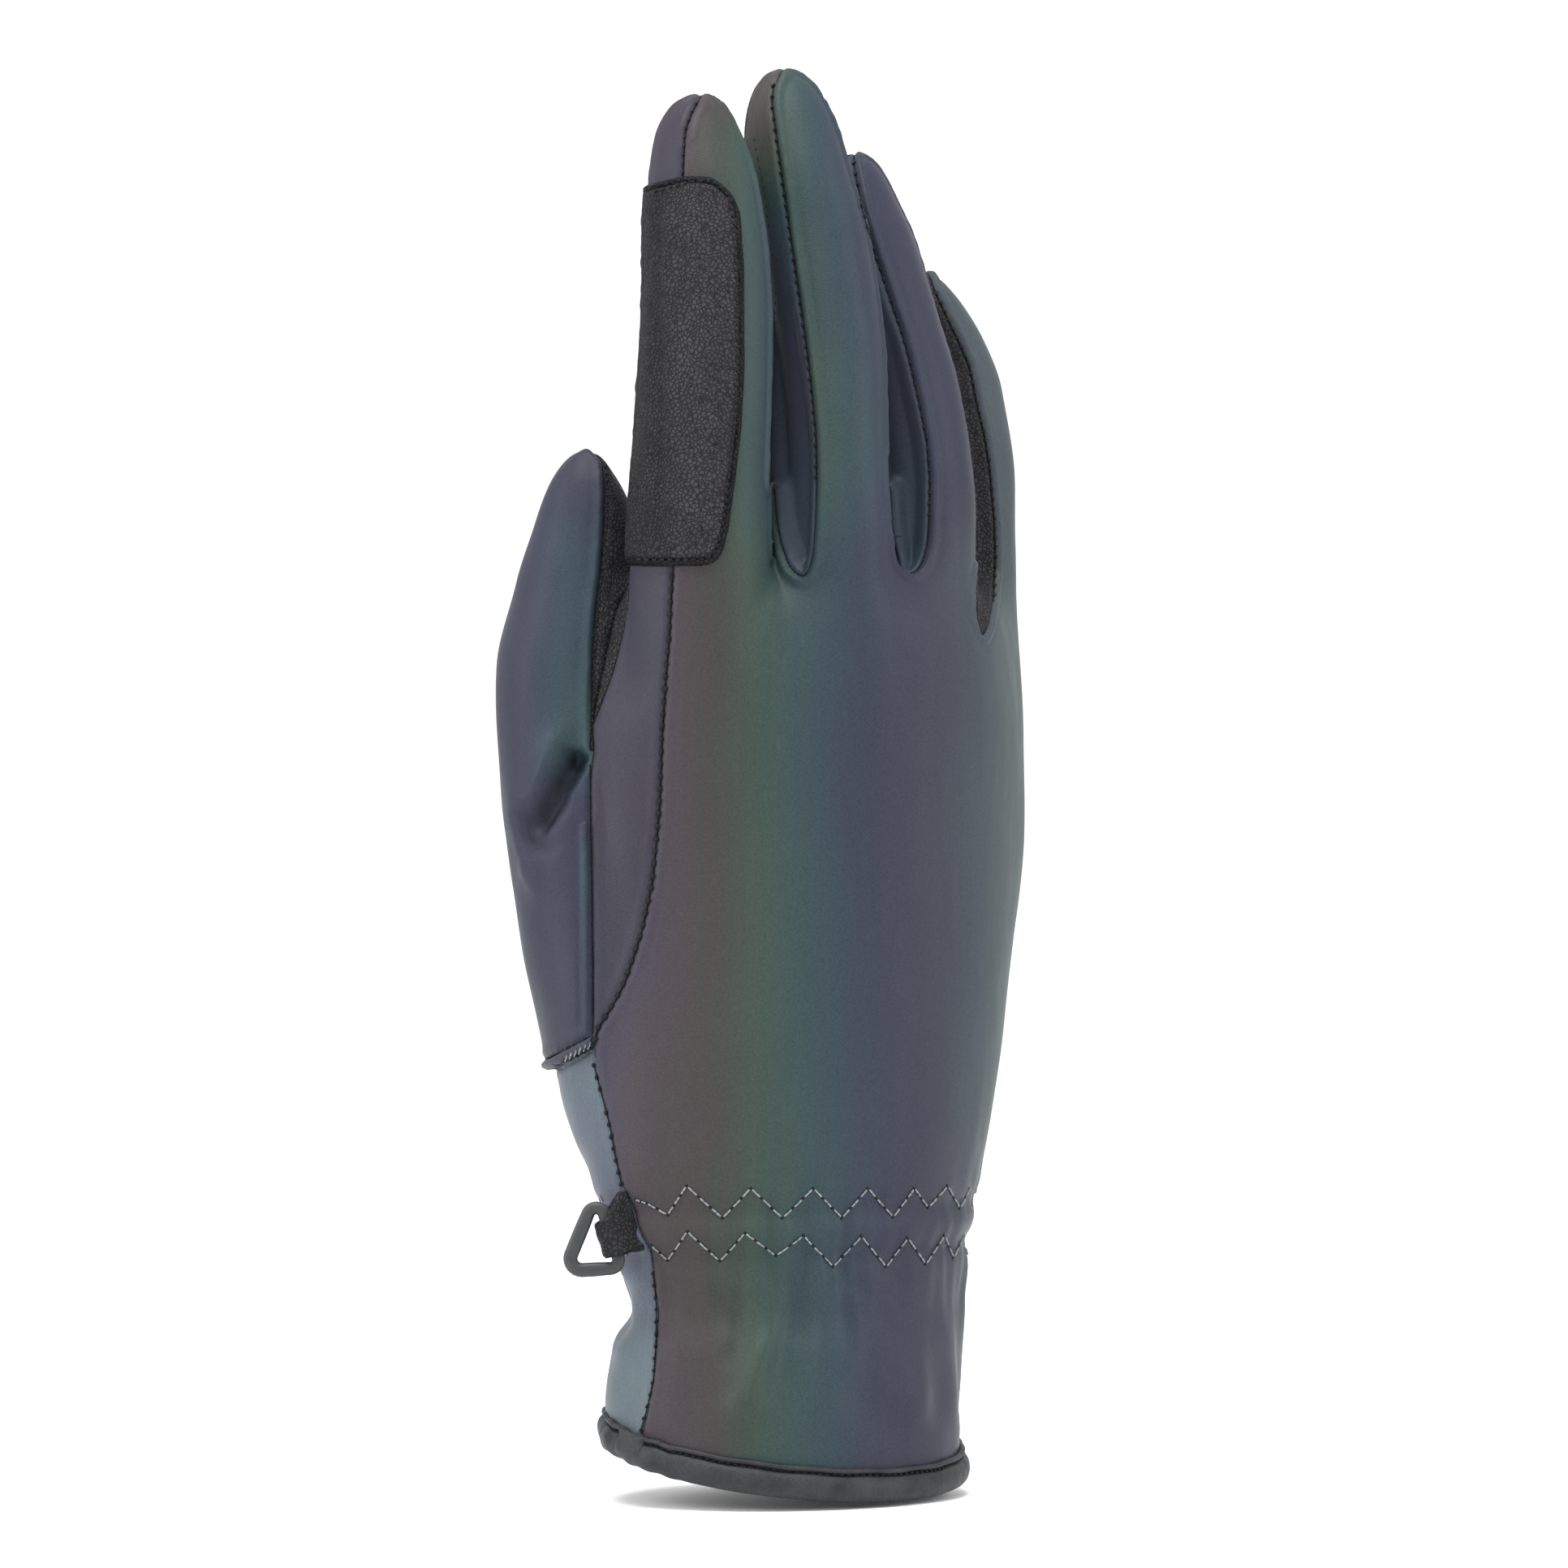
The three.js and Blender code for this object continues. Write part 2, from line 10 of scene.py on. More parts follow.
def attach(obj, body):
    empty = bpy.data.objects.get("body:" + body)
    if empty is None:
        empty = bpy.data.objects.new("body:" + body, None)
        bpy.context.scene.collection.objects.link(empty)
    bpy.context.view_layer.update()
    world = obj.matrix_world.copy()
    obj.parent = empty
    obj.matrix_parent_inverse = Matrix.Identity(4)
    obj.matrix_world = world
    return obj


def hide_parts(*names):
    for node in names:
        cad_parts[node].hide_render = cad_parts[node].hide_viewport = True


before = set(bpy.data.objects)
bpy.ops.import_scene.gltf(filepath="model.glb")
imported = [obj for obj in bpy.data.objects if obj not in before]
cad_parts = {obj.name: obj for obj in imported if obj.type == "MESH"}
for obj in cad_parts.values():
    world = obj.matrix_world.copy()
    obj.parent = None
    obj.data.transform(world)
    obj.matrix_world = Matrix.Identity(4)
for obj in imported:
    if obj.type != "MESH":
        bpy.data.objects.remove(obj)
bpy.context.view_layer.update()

# Riding glove for the right hand, in its worn form. Lengths are millimetres here and
# become metres when a mesh is made. +Z runs to the fingertips, -Y is the back of the
# hand and -X the thumb side.

MM = 0.001
TURN = math.radians(32.0)
CT, ST = math.cos(TURN), math.sin(TURN)
POINT = 0.136  # mm for one picture point at the middle of the glove
REACH = 1250.0  # camera to the glove's middle line
MIDDLE_Z = 113.18
rng = np.random.default_rng(7)

# ---------------------------------------------------------------- shape tables
INDEX = [(99, -14, 0.5, 7, 8), (117, -16, -1.2, 11.2, 12.4), (135, -18.2, -2.4, 11.4, 12.2), (153, -18.3, -3, 11.3, 11.9), (171, -17.5, -3, 10.7, 11.4), (189, -16, -2, 10.3, 11), (203, -15.4, -0.6, 9.8, 10.3), (214, -15.3, 1, 8.9, 9.1), (221, -15.4, 2.2, 7.3, 7.2), (225.8, -15, 3, 4.9, 4.7), (228.1, -14.6, 3.4, 1.5, 1.5)]
MIDDLE = [(99, 12.8, -2, 6, 7), (117, 5.6, -5.4, 9.8, 12), (135, 4.5, -7.6, 9.9, 11.4), (153, 3.6, -8.8, 9.9, 10.8), (171, 4, -7.2, 9.5, 10.4), (189, 5.3, -4.2, 9.2, 10.2), (205, 5.1, -0.8, 8.9, 9.8), (217, 3.7, 2.2, 8.4, 8.9), (225, 3.9, 4.4, 7.2, 7.3), (230.6, 3.9, 5.8, 5, 4.8), (233.4, 3.6, 6.4, 1.5, 1.5)]
RING = [(99, 27, -1, 6.4, 7), (115, 22.8, -2.6, 10.2, 11.6), (133, 22.9, -3.8, 10, 10.8), (149, 23.6, -4.4, 9.8, 9.9), (165, 25, -2.6, 9.6, 9.5), (181, 24.7, 1.2, 9.4, 9.2), (195, 23.1, 5.4, 9, 8.7), (206, 22.7, 9, 8.1, 7.7), (213, 22.2, 11.2, 6.4, 6.1), (217.9, 22.5, 12.6, 4.2, 4), (220.4, 22.7, 13.3, 1.5, 1.5)]
LITTLE = [(93, 40.4, 5, 5.6, 6), (109, 38.5, 6.8, 8.8, 10.4), (125, 39.2, 7, 8.9, 9.8), (141, 40.6, 7.2, 8.7, 9), (155, 42, 8.4, 8.5, 8.5), (169, 43.7, 10.8, 8.2, 8.1), (181, 43.9, 13.4, 7.6, 7.4), (190, 42.4, 15.6, 6.6, 6.4), (195.8, 41.2, 17.1, 5.2, 4.9), (199.3, 40.4, 18, 3.4, 3.2), (201.3, 39.9, 18.4, 1.3, 1.3)]
THUMB = [(35, -6.9, 5, 7, 8), (47, -15.4, 7.5, 14.6, 15), (63, -21.4, 10.5, 15.2, 15), (81, -24.4, 13.6, 15.2, 14.8), (99, -27, 16.4, 14.4, 14), (117, -29.5, 18.6, 13, 12.6), (133, -30.4, 20, 12, 11.6), (147, -27.7, 20.2, 10.8, 10.5), (157, -26.9, 19.6, 8.6, 8.4), (163.6, -27.2, 19.2, 6, 5.8), (167, -27.5, 19, 3.6, 3.4), (168.7, -27.6, 19, 1.4, 1.4)]
PALM = [(-13, 0.1, 0, 31.1, 24.4, 0), (0, 0.1, 0, 31, 24.6, 0), (9, 0.2, 0, 31.2, 24.4, 0), (19, 0.9, 0.2, 31, 23.2, 0), (26.5, 2.5, 0.2, 29.9, 20.8, 0), (33, 2, 0.4, 31.8, 20.8, 0), (39, 1.6, 0.4, 33.5, 21.4, 0.4), (48, 2, 0.6, 35.8, 21.8, 1.2), (57, 3.4, 0.8, 37.2, 22.2, 2.2), (71, 5.3, 0.8, 38.7, 22, 3.6), (87, 7, 0.2, 40.1, 20.8, 5.4), (105, 8.2, -1.2, 41.2, 19.2, 7.4), (121, 8.3, -3.2, 41.2, 17.8, 9.4), (133, 9.1, -4.6, 39.3, 16.2, 10.6), (142, 10, -5.2, 37.2, 13.6, 11.4), (148, 11.9, -5.2, 33.2, 9.6, 12)]
PALM_TOP = 148.9


def smooth(a, b, x):
    t = np.clip((np.asarray(x, float) - a) / (b - a), 0, 1)
    return t * t * (3 - 2 * t)


def pchip(x, y, q):
    x, y, q = (np.asarray(v, float) for v in (x, y, q))
    h = np.diff(x)
    d = np.diff(y) / h
    m = np.zeros_like(y)
    top = 3 * (h[:-1] + h[1:])
    safe = np.where(d == 0, 1, d)
    low = (2 * h[1:] + h[:-1]) / safe[:-1] + (h[1:] + 2 * h[:-1]) / safe[1:]
    m[1:-1] = np.where(d[:-1] * d[1:] > 0, top / np.where(low == 0, 1, low), 0)
    m[0], m[-1] = d[0], d[-1]
    i = np.clip(np.searchsorted(x, q) - 1, 0, len(h) - 1)
    t = np.clip((q - x[i]) / h[i], 0, 1)
    return (
        y[i] * (1 + 2 * t) * (1 - t) ** 2
        + h[i] * m[i] * t * (1 - t) ** 2
        + y[i + 1] * t * t * (3 - 2 * t)
        + h[i] * m[i + 1] * t * t * (t - 1)
    )


class Limb:
    """A finger, the thumb or the palm: oval sections along z."""

    def __init__(self, rows, roll=0.0):
        r = np.array(rows, float)
        z = r[:, 0]
        self.grid = np.arange(z[0] - 25, z[-1] + 25, 0.25)
        inside = np.clip(self.grid, z[0], z[-1])
        self.cx = pchip(z, r[:, 1], inside)
        self.cy = pchip(z, r[:, 2], inside)
        aa = pchip(z, r[:, 3] ** 2, inside)
        bb = pchip(z, r[:, 4] ** 2, inside)
        size = np.sqrt(aa * bb)
        ends = (r[0, 3] * r[0, 4], r[-1, 3] * r[-1, 4])
        slopes = (
            (r[1, 3] * r[1, 4] - ends[0]) / (z[1] - z[0]),
            (ends[1] - r[-2, 3] * r[-2, 4]) / (z[-1] - z[-2]),
        )
        size = np.where(self.grid < z[0], ends[0] + slopes[0] * (self.grid - z[0]), size)
        size = np.where(self.grid > z[-1], ends[1] + slopes[1] * (self.grid - z[-1]), size)
        self.size = size
        self.ratio = np.sqrt(aa / bb)
        self.arch = pchip(z, r[:, 5], inside) if r.shape[1] > 5 else None
        rr = math.radians(roll)
        self.D = (math.sin(rr), -math.cos(rr))
        self.L = (-math.cos(rr), -math.sin(rr))
        self.slope = np.gradient(self.size, 0.25)
        self.cxs = np.gradient(self.cx, 0.25)
        self.cys = np.gradient(self.cy, 0.25)

    def local(self, P):
        z = P[:, 2]
        cx, cy = np.interp(z, self.grid, self.cx), np.interp(z, self.grid, self.cy)
        dx, dy = P[:, 0] - cx, P[:, 1] - cy
        size = np.interp(z, self.grid, self.size)
        ratio = np.interp(z, self.grid, self.ratio)
        if self.arch is not None:
            a2 = np.maximum(size, 1) * ratio
            dy = dy - np.interp(z, self.grid, self.arch) * np.minimum(1.15, dx * dx / a2)
        lx = dx * self.L[0] + dy * self.L[1]
        ly = dx * self.D[0] + dy * self.D[1]
        return lx, ly, size, ratio

    def f(self, P):
        lx, ly, size, ratio = self.local(P)
        z = P[:, 2]
        g = lx * lx / ratio + ly * ly * ratio - size
        cxs, cys = np.interp(z, self.grid, self.cxs), np.interp(z, self.grid, self.cys)
        gx, gy = 2 * lx / ratio, 2 * ly * ratio
        gz = (
            -np.interp(z, self.grid, self.slope)
            - gx * (cxs * self.L[0] + cys * self.L[1])
            - gy * (cxs * self.D[0] + cys * self.D[1])
        )
        big = np.sqrt(gx * gx + gy * gy + gz * gz)
        return g / np.maximum(big, np.sqrt(np.maximum(size, 0)) + 0.6)

    def turn(self, P):
        """Degrees from the middle of the back, positive towards the thumb."""
        lx, ly, size, ratio = self.local(P)
        return np.degrees(np.arctan2(lx / np.sqrt(ratio), ly * np.sqrt(ratio)))

    def radius(self, P):
        return np.sqrt(np.maximum(np.interp(P[:, 2], self.grid, self.size), 1.0))


LIMBS = {
    "palm": Limb(PALM),
    "thumb": Limb(THUMB, -58),
    "index": Limb(INDEX, 4),
    "middle": Limb(MIDDLE, 8),
    "ring": Limb(RING, 34),
    "little": Limb(LITTLE, 42),
}
ORDER = list(LIMBS)


def smin(a, b, k):
    h = np.clip(0.5 + 0.5 * (b - a) / k, 0, 1)
    return b * (1 - h) + a * h - k * h * (1 - h)


def parts(P):
    out = [LIMBS[k].f(P) for k in ORDER]
    out[0] = -smin(-out[0], -(P[:, 2] - PALM_TOP), 3.0)
    return out


def skin(P):
    palm, thumb, *fingers = parts(P)
    hand = smin(palm, np.minimum.reduce(fingers), 4.0)
    return smin(hand, thumb, 2.2)


def gradient(P, f=skin, h=0.15):
    g = np.empty_like(P)
    for k in range(3):
        e = np.zeros(3)
        e[k] = h
        g[:, k] = (f(P + e) - f(P - e)) / (2 * h)
    return g


# ---------------------------------------------------------------- the picture plane
def image(P):
    u = P[:, 0] * CT - P[:, 1] * ST
    d = P[:, 0] * ST + P[:, 1] * CT
    k = REACH / (REACH + d)
    return 966 + u * k / POINT, 966 - (P[:, 2] - MIDDLE_Z) * k / POINT


EYE = np.array([-REACH * ST, -REACH * CT, MIDDLE_Z])
TO_EYE = np.array([-ST, -CT, 0.0])


def sight(px, py):
    """Direction of the line of sight through a picture point."""
    u, z = (px - 966) * POINT, MIDDLE_Z - (py - 966) * POINT
    at = np.array([u * CT, -u * ST, z])
    way = at - EYE
    return way / np.linalg.norm(way)


def line(points):
    """A seam on the picture plane, as x for a given y."""
    p = np.array(sorted(points, key=lambda q: q[1]), float)
    return lambda y: np.interp(y, p[:, 1], p[:, 0])


SEAM_INDEX = [(864, 118), (858, 128), (850, 143), (844, 162), (842, 190), (841, 216), (840, 300), (839, 450), (836, 560), (832, 640), (828, 711), (824, 790), (821, 823), (816, 895), (814, 952), (812, 1000), (809, 1034), (805, 1073), (803, 1090), (791, 1147), (770, 1210), (756, 1237), (736, 1268), (731, 1290)]
SEAM_MIDDLE = [(968, 78), (967, 83), (953, 106), (951, 126), (956, 167), (969, 259), (984, 361), (995, 440), (1000, 484), (1005, 536), (1006, 593), (1004, 650), (1001, 685), (997, 702), (990, 712)]
SEAM_RING = [(1055, 172), (1053, 185), (1052, 201), (1061, 252), (1069, 282), (1079, 315), (1089, 344), (1101, 380), (1112, 411), (1120, 440), (1133, 497), (1142, 543), (1146, 589), (1145, 635), (1143, 670), (1137, 693), (1130, 703), (1122, 708)]
SEAM_LITTLE = [(1138, 305), (1142, 327), (1154, 362), (1169, 395), (1181, 419), (1195, 451), (1204, 497), (1214, 539), (1220, 578), (1226, 647), (1227, 692), (1224, 745), (1219, 772), (1212, 783)]
RIM_INDEX = [(949, 440), (951, 555), (952, 593), (955, 641), (961, 672), (968, 692), (977, 706), (990, 712)]
RIM_MIDDLE = [(1089, 446), (1091, 509), (1093, 578), (1096, 647), (1102, 678), (1110, 700), (1122, 708)]
RIM_RING = [(1196, 500), (1199, 543), (1202, 578), (1203, 624), (1203, 716), (1203, 750), (1205, 774), (1212, 783)]
SEAM_THUMB = [(736, 556), (741, 566), (744, 580), (746, 606), (745, 635), (743, 673), (739, 711), (734, 750), (731, 788), (729, 850), (727, 918), (726, 930)]
SEAM_ROOT = [(728, 900), (727, 943), (728, 1029), (729, 1080), (730, 1195), (730, 1252), (729, 1300)]
SEAM_CUFF = [(731, 1285), (732, 1313), (738, 1336), (743, 1355), (751, 1385), (758, 1425), (766, 1460), (780, 1496), (797, 1531), (805, 1569), (809, 1611), (808, 1658), (805, 1701), (797, 1737), (789, 1765), (786, 1800)]
WEB = {"index": 712, "middle": 708, "ring": 783}

x_index, x_middle, x_ring, x_little = map(line, (SEAM_INDEX, SEAM_MIDDLE, SEAM_RING, SEAM_LITTLE))
r_index, r_middle, r_ring = map(line, (RIM_INDEX, RIM_MIDDLE, RIM_RING))
x_thumb, x_root, x_cuff = map(line, (SEAM_THUMB, SEAM_ROOT, SEAM_CUFF))
ULNAR = {"index": 42.0, "middle": 50.0, "ring": 46.0}
PALM_TURN = 124.0
WEB_Z = 146.2


def hem_z(P):
    """Height of the thumb's turned edge."""
    u = P[:, 0] * CT - P[:, 1] * ST
    return 69.3 + 0.55 * (u + 32.4)


HEM_TALL = 1.9


def mouth(P):
    """Height above the slanted mouth of the cuff."""
    return P[:, 2] - (0.205 * P[:, 1] - 0.048 * P[:, 0])


def palm_seam(P):
    """Positive on the palm side of the hand's two edge seams."""
    thumb_side = 8.6 - 5.4 * smooth(108, 146, P[:, 2])
    far_side = 8.6 + 7.0 * smooth(108, 146, P[:, 2])
    inner = 8.6 - 6.0 * smooth(90, 120, P[:, 2])
    x = P[:, 0]
    w, v = smooth(-16, -8, x), smooth(28, 36, x)
    return P[:, 1] - (thumb_side * (1 - w) + inner * w * (1 - v) + far_side * v)


def cuff_top(P):
    """Top of the cuff's palm-side panel: it rises under the foot of the thumb."""
    return 64 + 9 * (1 - smooth(-14, 6, P[:, 0]))


class Sense:
    """Everything that the seams need to know about a set of points."""

    def __init__(self, P, N):
        self.P = P
        self.N = N
        self.px, self.py = image(P)
        self.facing = N @ TO_EYE > 0
        f = parts(P)
        self.f = dict(zip(ORDER, f))
        stack = np.array(f)
        self.limb = np.argmin(stack, axis=0)
        self.fingers = np.argmin(stack[2:], axis=0)  # 0 index .. 3 little
        self.gap_fingers = np.sort(stack[2:], axis=0)[0]
        self.turn = {k: LIMBS[k].turn(P) for k in ORDER[1:]}
        self.z = P[:, 2]
        self.thumbness = self.thumb_field()

    def is_limb(self, name):
        return self.limb == ORDER.index(name)

    def thumb_field(self):
        """Negative on the thumb."""
        others = np.minimum.reduce([self.f[k] for k in ORDER if k != "thumb"])
        crease = self.f["thumb"] - others
        drawn = (self.px - x_root(self.py)) * POINT
        w = smooth(925, 950, self.py) * (1 - smooth(1296, 1320, self.py))
        near = self.facing & (np.abs(self.px - 728) < 60) & (self.P[:, 1] < 18)
        return np.where(near, crease * (1 - w) + drawn * w, crease)


def slot(s, rim, seam, bottom, top=560):
    """Inside the U between two fingers, as drawn."""
    return (
        s.facing
        & (s.py > top)
        & (s.py < bottom)
        & (s.px > rim(s.py))
        & (s.px < seam(s.py))
        & (s.P[:, 1] < 16)
    )


def labels(s):
    P, z = s.P, s.z
    n = len(P)
    out = np.full(n, "back_panel", dtype="U24")
    palmish = palm_seam(P) > 0
    high = z > WEB_Z
    # hand
    top = cuff_top(P)
    out[palmish & (z > top)] = "palm_panel"
    low = (z < top) & (P[:, 1] > 5)
    out[low] = "wrist_side_panel"
    left = s.px < x_cuff(s.py)
    cuff_left = (s.py > 1284) & left & (s.px < 900) & ~(palmish & (z > top))
    out[cuff_left] = "wrist_side_panel"
    side = (s.py <= 1290) & (s.px < x_index(s.py)) & (P[:, 0] < 0) & (z < WEB_Z) & ~palmish
    out[side] = "index_side_panel"
    # fingers
    finger = high & (s.limb >= 2)
    for k, name in enumerate(ORDER[2:]):
        mine = finger & s.is_limb(name)
        t = s.turn[name]
        seam = (x_index, x_middle, x_ring, x_little)[k]
        radial = ((s.px < seam(s.py)) & (t > -25) & (t < 165)) | (t > 95)
        ulnar = (t < -ULNAR[name]) if name in ULNAR else np.zeros(n, bool)
        front = np.abs(t) > PALM_TURN
        before = ("index_side_panel", "fourchette_index_middle", "fourchette_middle_ring", "fourchette_ring_little")[k]
        after = ("fourchette_index_middle", "fourchette_middle_ring", "fourchette_ring_little", "back_panel")[k]
        out[mine] = "back_panel"
        out[mine & radial] = before
        out[mine & ulnar & ~radial] = after
        out[mine & front] = "palm_panel"
    # webs
    web = high & (s.limb == 0)
    which = np.array(["fourchette_index_middle", "fourchette_middle_ring", "fourchette_ring_little"])
    x = P[:, 0]
    out[web] = which[np.digitize(x[web], [13.5, 32.5])]
    flatn = s.N[:, 1] / np.maximum(np.linalg.norm(s.N, axis=1), 1e-9)
    out[web & (flatn > 0.55)] = "palm_panel"
    # the drawn slots, down to their round ends
    out[slot(s, r_index, x_middle, WEB["index"])] = "fourchette_index_middle"
    out[slot(s, r_middle, x_ring, WEB["middle"])] = "fourchette_middle_ring"
    out[slot(s, r_ring, x_little, WEB["ring"])] = "fourchette_ring_little"
    # just outside the round ends everything near is back
    for rim, seam, bottom, x0, x1 in (
        (r_index, x_middle, WEB["index"], 930, 1030),
        (r_middle, x_ring, WEB["middle"], 1080, 1160),
        (r_ring, x_little, WEB["ring"], 1190, 1240),
    ):
        near = s.facing & (s.py > 600) & (s.px > x0) & (s.px < x1) & (P[:, 1] < 16)
        outside = near & ((s.py >= bottom) | (s.px <= rim(s.py)) | (s.px >= seam(s.py)))
        out[outside & ~palmish] = "back_panel"
    # thumb
    thumb = (s.thumbness < 0) & (z > hem_z(P))
    t = s.turn["thumb"]
    grip = (z > 61) & (
        ((s.px > x_thumb(s.py)) & (s.py < 926) & s.facing & (t > -120))
        | ((t < -42) & ~s.facing & (t > -168))
        | ((t < -90) & (t > -168))
    )
    out[thumb] = "thumb_back"
    out[thumb & grip] = "thumb_grip"
    out[thumb & (z < hem_z(P) + HEM_TALL)] = "thumb_hem"
    return out


# ---------------------------------------------------------------- meshing
def surface_nets(f, low, high, h):
    axes = [np.arange(low[k], high[k] + h, h) for k in range(3)]
    nx, ny, nz = map(len, axes)
    F = np.empty((nx, ny, nz))
    Y, Z = np.meshgrid(axes[1], axes[2], indexing="ij")
    for i in range(nx):
        P = np.stack([np.full(Y.size, axes[0][i]), Y.ravel(), Z.ravel()], 1)
        F[i] = f(P).reshape(ny, nz)
    S = F < 0
    total = np.zeros((nx - 1, ny - 1, nz - 1), np.int8)
    for a in (0, 1):
        for b in (0, 1):
            for c in (0, 1):
                total += S[a : nx - 1 + a, b : ny - 1 + b, c : nz - 1 + c]
    cells = np.argwhere((total > 0) & (total < 8))
    where = np.full(total.shape, -1, np.int64)
    where[tuple(cells.T)] = np.arange(len(cells))
    sums = np.zeros((len(cells), 3))
    count = np.zeros(len(cells))
    for axis in range(3):
        u, v = [k for k in range(3) if k != axis]
        for a in (0, 1):
            for b in (0, 1):
                start = cells.copy()
                start[:, u] += a
                start[:, v] += b
                end = start.copy()
                end[:, axis] += 1
                fa, fb = F[tuple(start.T)], F[tuple(end.T)]
                on = (fa < 0) != (fb < 0)
                t = np.where(on, fa / np.where(fa == fb, 1, fa - fb), 0)
                p = start.astype(float)
                p[:, axis] += t
                sums[on] += p[on]
                count += on
    V = np.array([axes[k][0] for k in range(3)]) + sums / count[:, None] * h
    quads = []
    for axis in range(3):
        u, v = (axis + 1) % 3, (axis + 2) % 3
        sa = [slice(None)] * 3
        sb = [slice(None)] * 3
        sa[axis], sb[axis] = slice(0, -1), slice(1, None)
        change = S[tuple(sa)] != S[tuple(sb)]
        e = np.argwhere(change)
        ok = (e[:, u] > 0) & (e[:, v] > 0) & (e[:, u] < F.shape[u] - 1) & (e[:, v] < F.shape[v] - 1)
        e = e[ok]
        inside = S[tuple(e.T)]
        ring = []
        for du, dv in ((-1, -1), (0, -1), (0, 0), (-1, 0)):
            c = e.copy()
            c[:, u] += du
            c[:, v] += dv
            ring.append(where[tuple(c.T)])
        q = np.stack(ring, 1)
        q[~inside] = q[~inside][:, ::-1]
        quads.append(q)
    return V, np.concatenate(quads)


def to_triangles(V, Q):
    a = np.linalg.norm(V[Q[:, 0]] - V[Q[:, 2]], axis=1)
    b = np.linalg.norm(V[Q[:, 1]] - V[Q[:, 3]], axis=1)
    first = a <= b
    return np.concatenate([
        Q[first][:, [0, 1, 2]], Q[first][:, [0, 2, 3]],
        Q[~first][:, [0, 1, 3]], Q[~first][:, [1, 2, 3]],
    ])


def edges_of(T):
    E = np.sort(np.concatenate([T[:, [0, 1]], T[:, [1, 2]], T[:, [2, 0]]]), axis=1)
    key = E[:, 0].astype(np.int64) << 32 | E[:, 1]
    unique, back = np.unique(key, return_inverse=True)
    return np.stack([unique >> 32, unique & 0xFFFFFFFF], 1), back.reshape(3, -1).T


def normals_of(V, T):
    n = np.cross(V[T[:, 1]] - V[T[:, 0]], V[T[:, 2]] - V[T[:, 0]])
    out = np.zeros_like(V)
    for k in range(3):
        for c in range(3):
            out[:, c] += np.bincount(T[:, k], n[:, c], len(V))
    return out / np.maximum(np.linalg.norm(out, axis=1), 1e-12)[:, None]


def relax(V, T, amount, locked=None):
    E, _ = edges_of(T)
    total = np.zeros_like(V)
    for c in range(3):
        total[:, c] = np.bincount(E[:, 0], V[E[:, 1], c], len(V)) + np.bincount(E[:, 1], V[E[:, 0], c], len(V))
    degree = np.bincount(E.ravel(), minlength=len(V))
    moved = V + amount * (total / np.maximum(degree, 1)[:, None] - V)
    if locked is not None:
        moved[locked] = V[locked]
    return moved


def project(P, steps=2):
    for _ in range(steps):
        g = gradient(P)
        big = np.maximum((g * g).sum(1), 0.3)
        P = P - (skin(P) / big)[:, None] * g
    return P


class Mesh:
    """Triangles that seams cut, with each vertex's lock."""

    def __init__(self, V, T):
        self.V, self.T = V, T
        self.locked = np.zeros(len(V), bool)

    def split(self, f, limit=2.6, snap=0.22):
        f = np.array(f, float)
        V, T = self.V, self.T
        E, tri = edges_of(T)
        fa, fb = f[E[:, 0]], f[E[:, 1]]
        ok = np.isfinite(fa) & np.isfinite(fb) & (np.abs(fa) < limit) & (np.abs(fb) < limit)
        cross = ok & (fa * fb < 0)
        t = np.where(cross, fa / np.where(fa == fb, 1, fa - fb), 0.5)
        want = np.where(t < 0.5, t, 1 - t)
        who = np.where(t < 0.5, E[:, 0], E[:, 1])
        near = np.nonzero(cross & (want < snap))[0]
        near = near[~self.locked[who[near]]]
        near = near[np.argsort(-want[near], kind="stable")]
        point = V[E[near, 0]] + t[near, None] * (V[E[near, 1]] - V[E[near, 0]])
        V = V.copy()
        V[who[near]] = point
        f[who[near]] = 0.0
        # a locked vertex very near the seam counts as on it
        tight = cross & (want < 0.06) & self.locked[who]
        f[who[tight]] = 0.0
        self.locked = self.locked | (np.isfinite(f) & (f == 0.0) & np.isin(np.arange(len(V)), np.concatenate([who[near], who[tight]])))
        fa, fb = f[E[:, 0]], f[E[:, 1]]
        cross = ok & (fa * fb < 0)
        t = np.where(cross, fa / np.where(fa == fb, 1, fa - fb), 0.5)
        cut = np.nonzero(cross)[0]
        new = np.full(len(E), -1)
        new[cut] = len(V) + np.arange(len(cut))
        V = np.concatenate([V, V[E[cut, 0]] + t[cut, None] * (V[E[cut, 1]] - V[E[cut, 0]])])
        self.locked = np.concatenate([self.locked, np.ones(len(cut), bool)])
        self.T = subdivide(T, new[tri], V)
        self.V = V
        return self


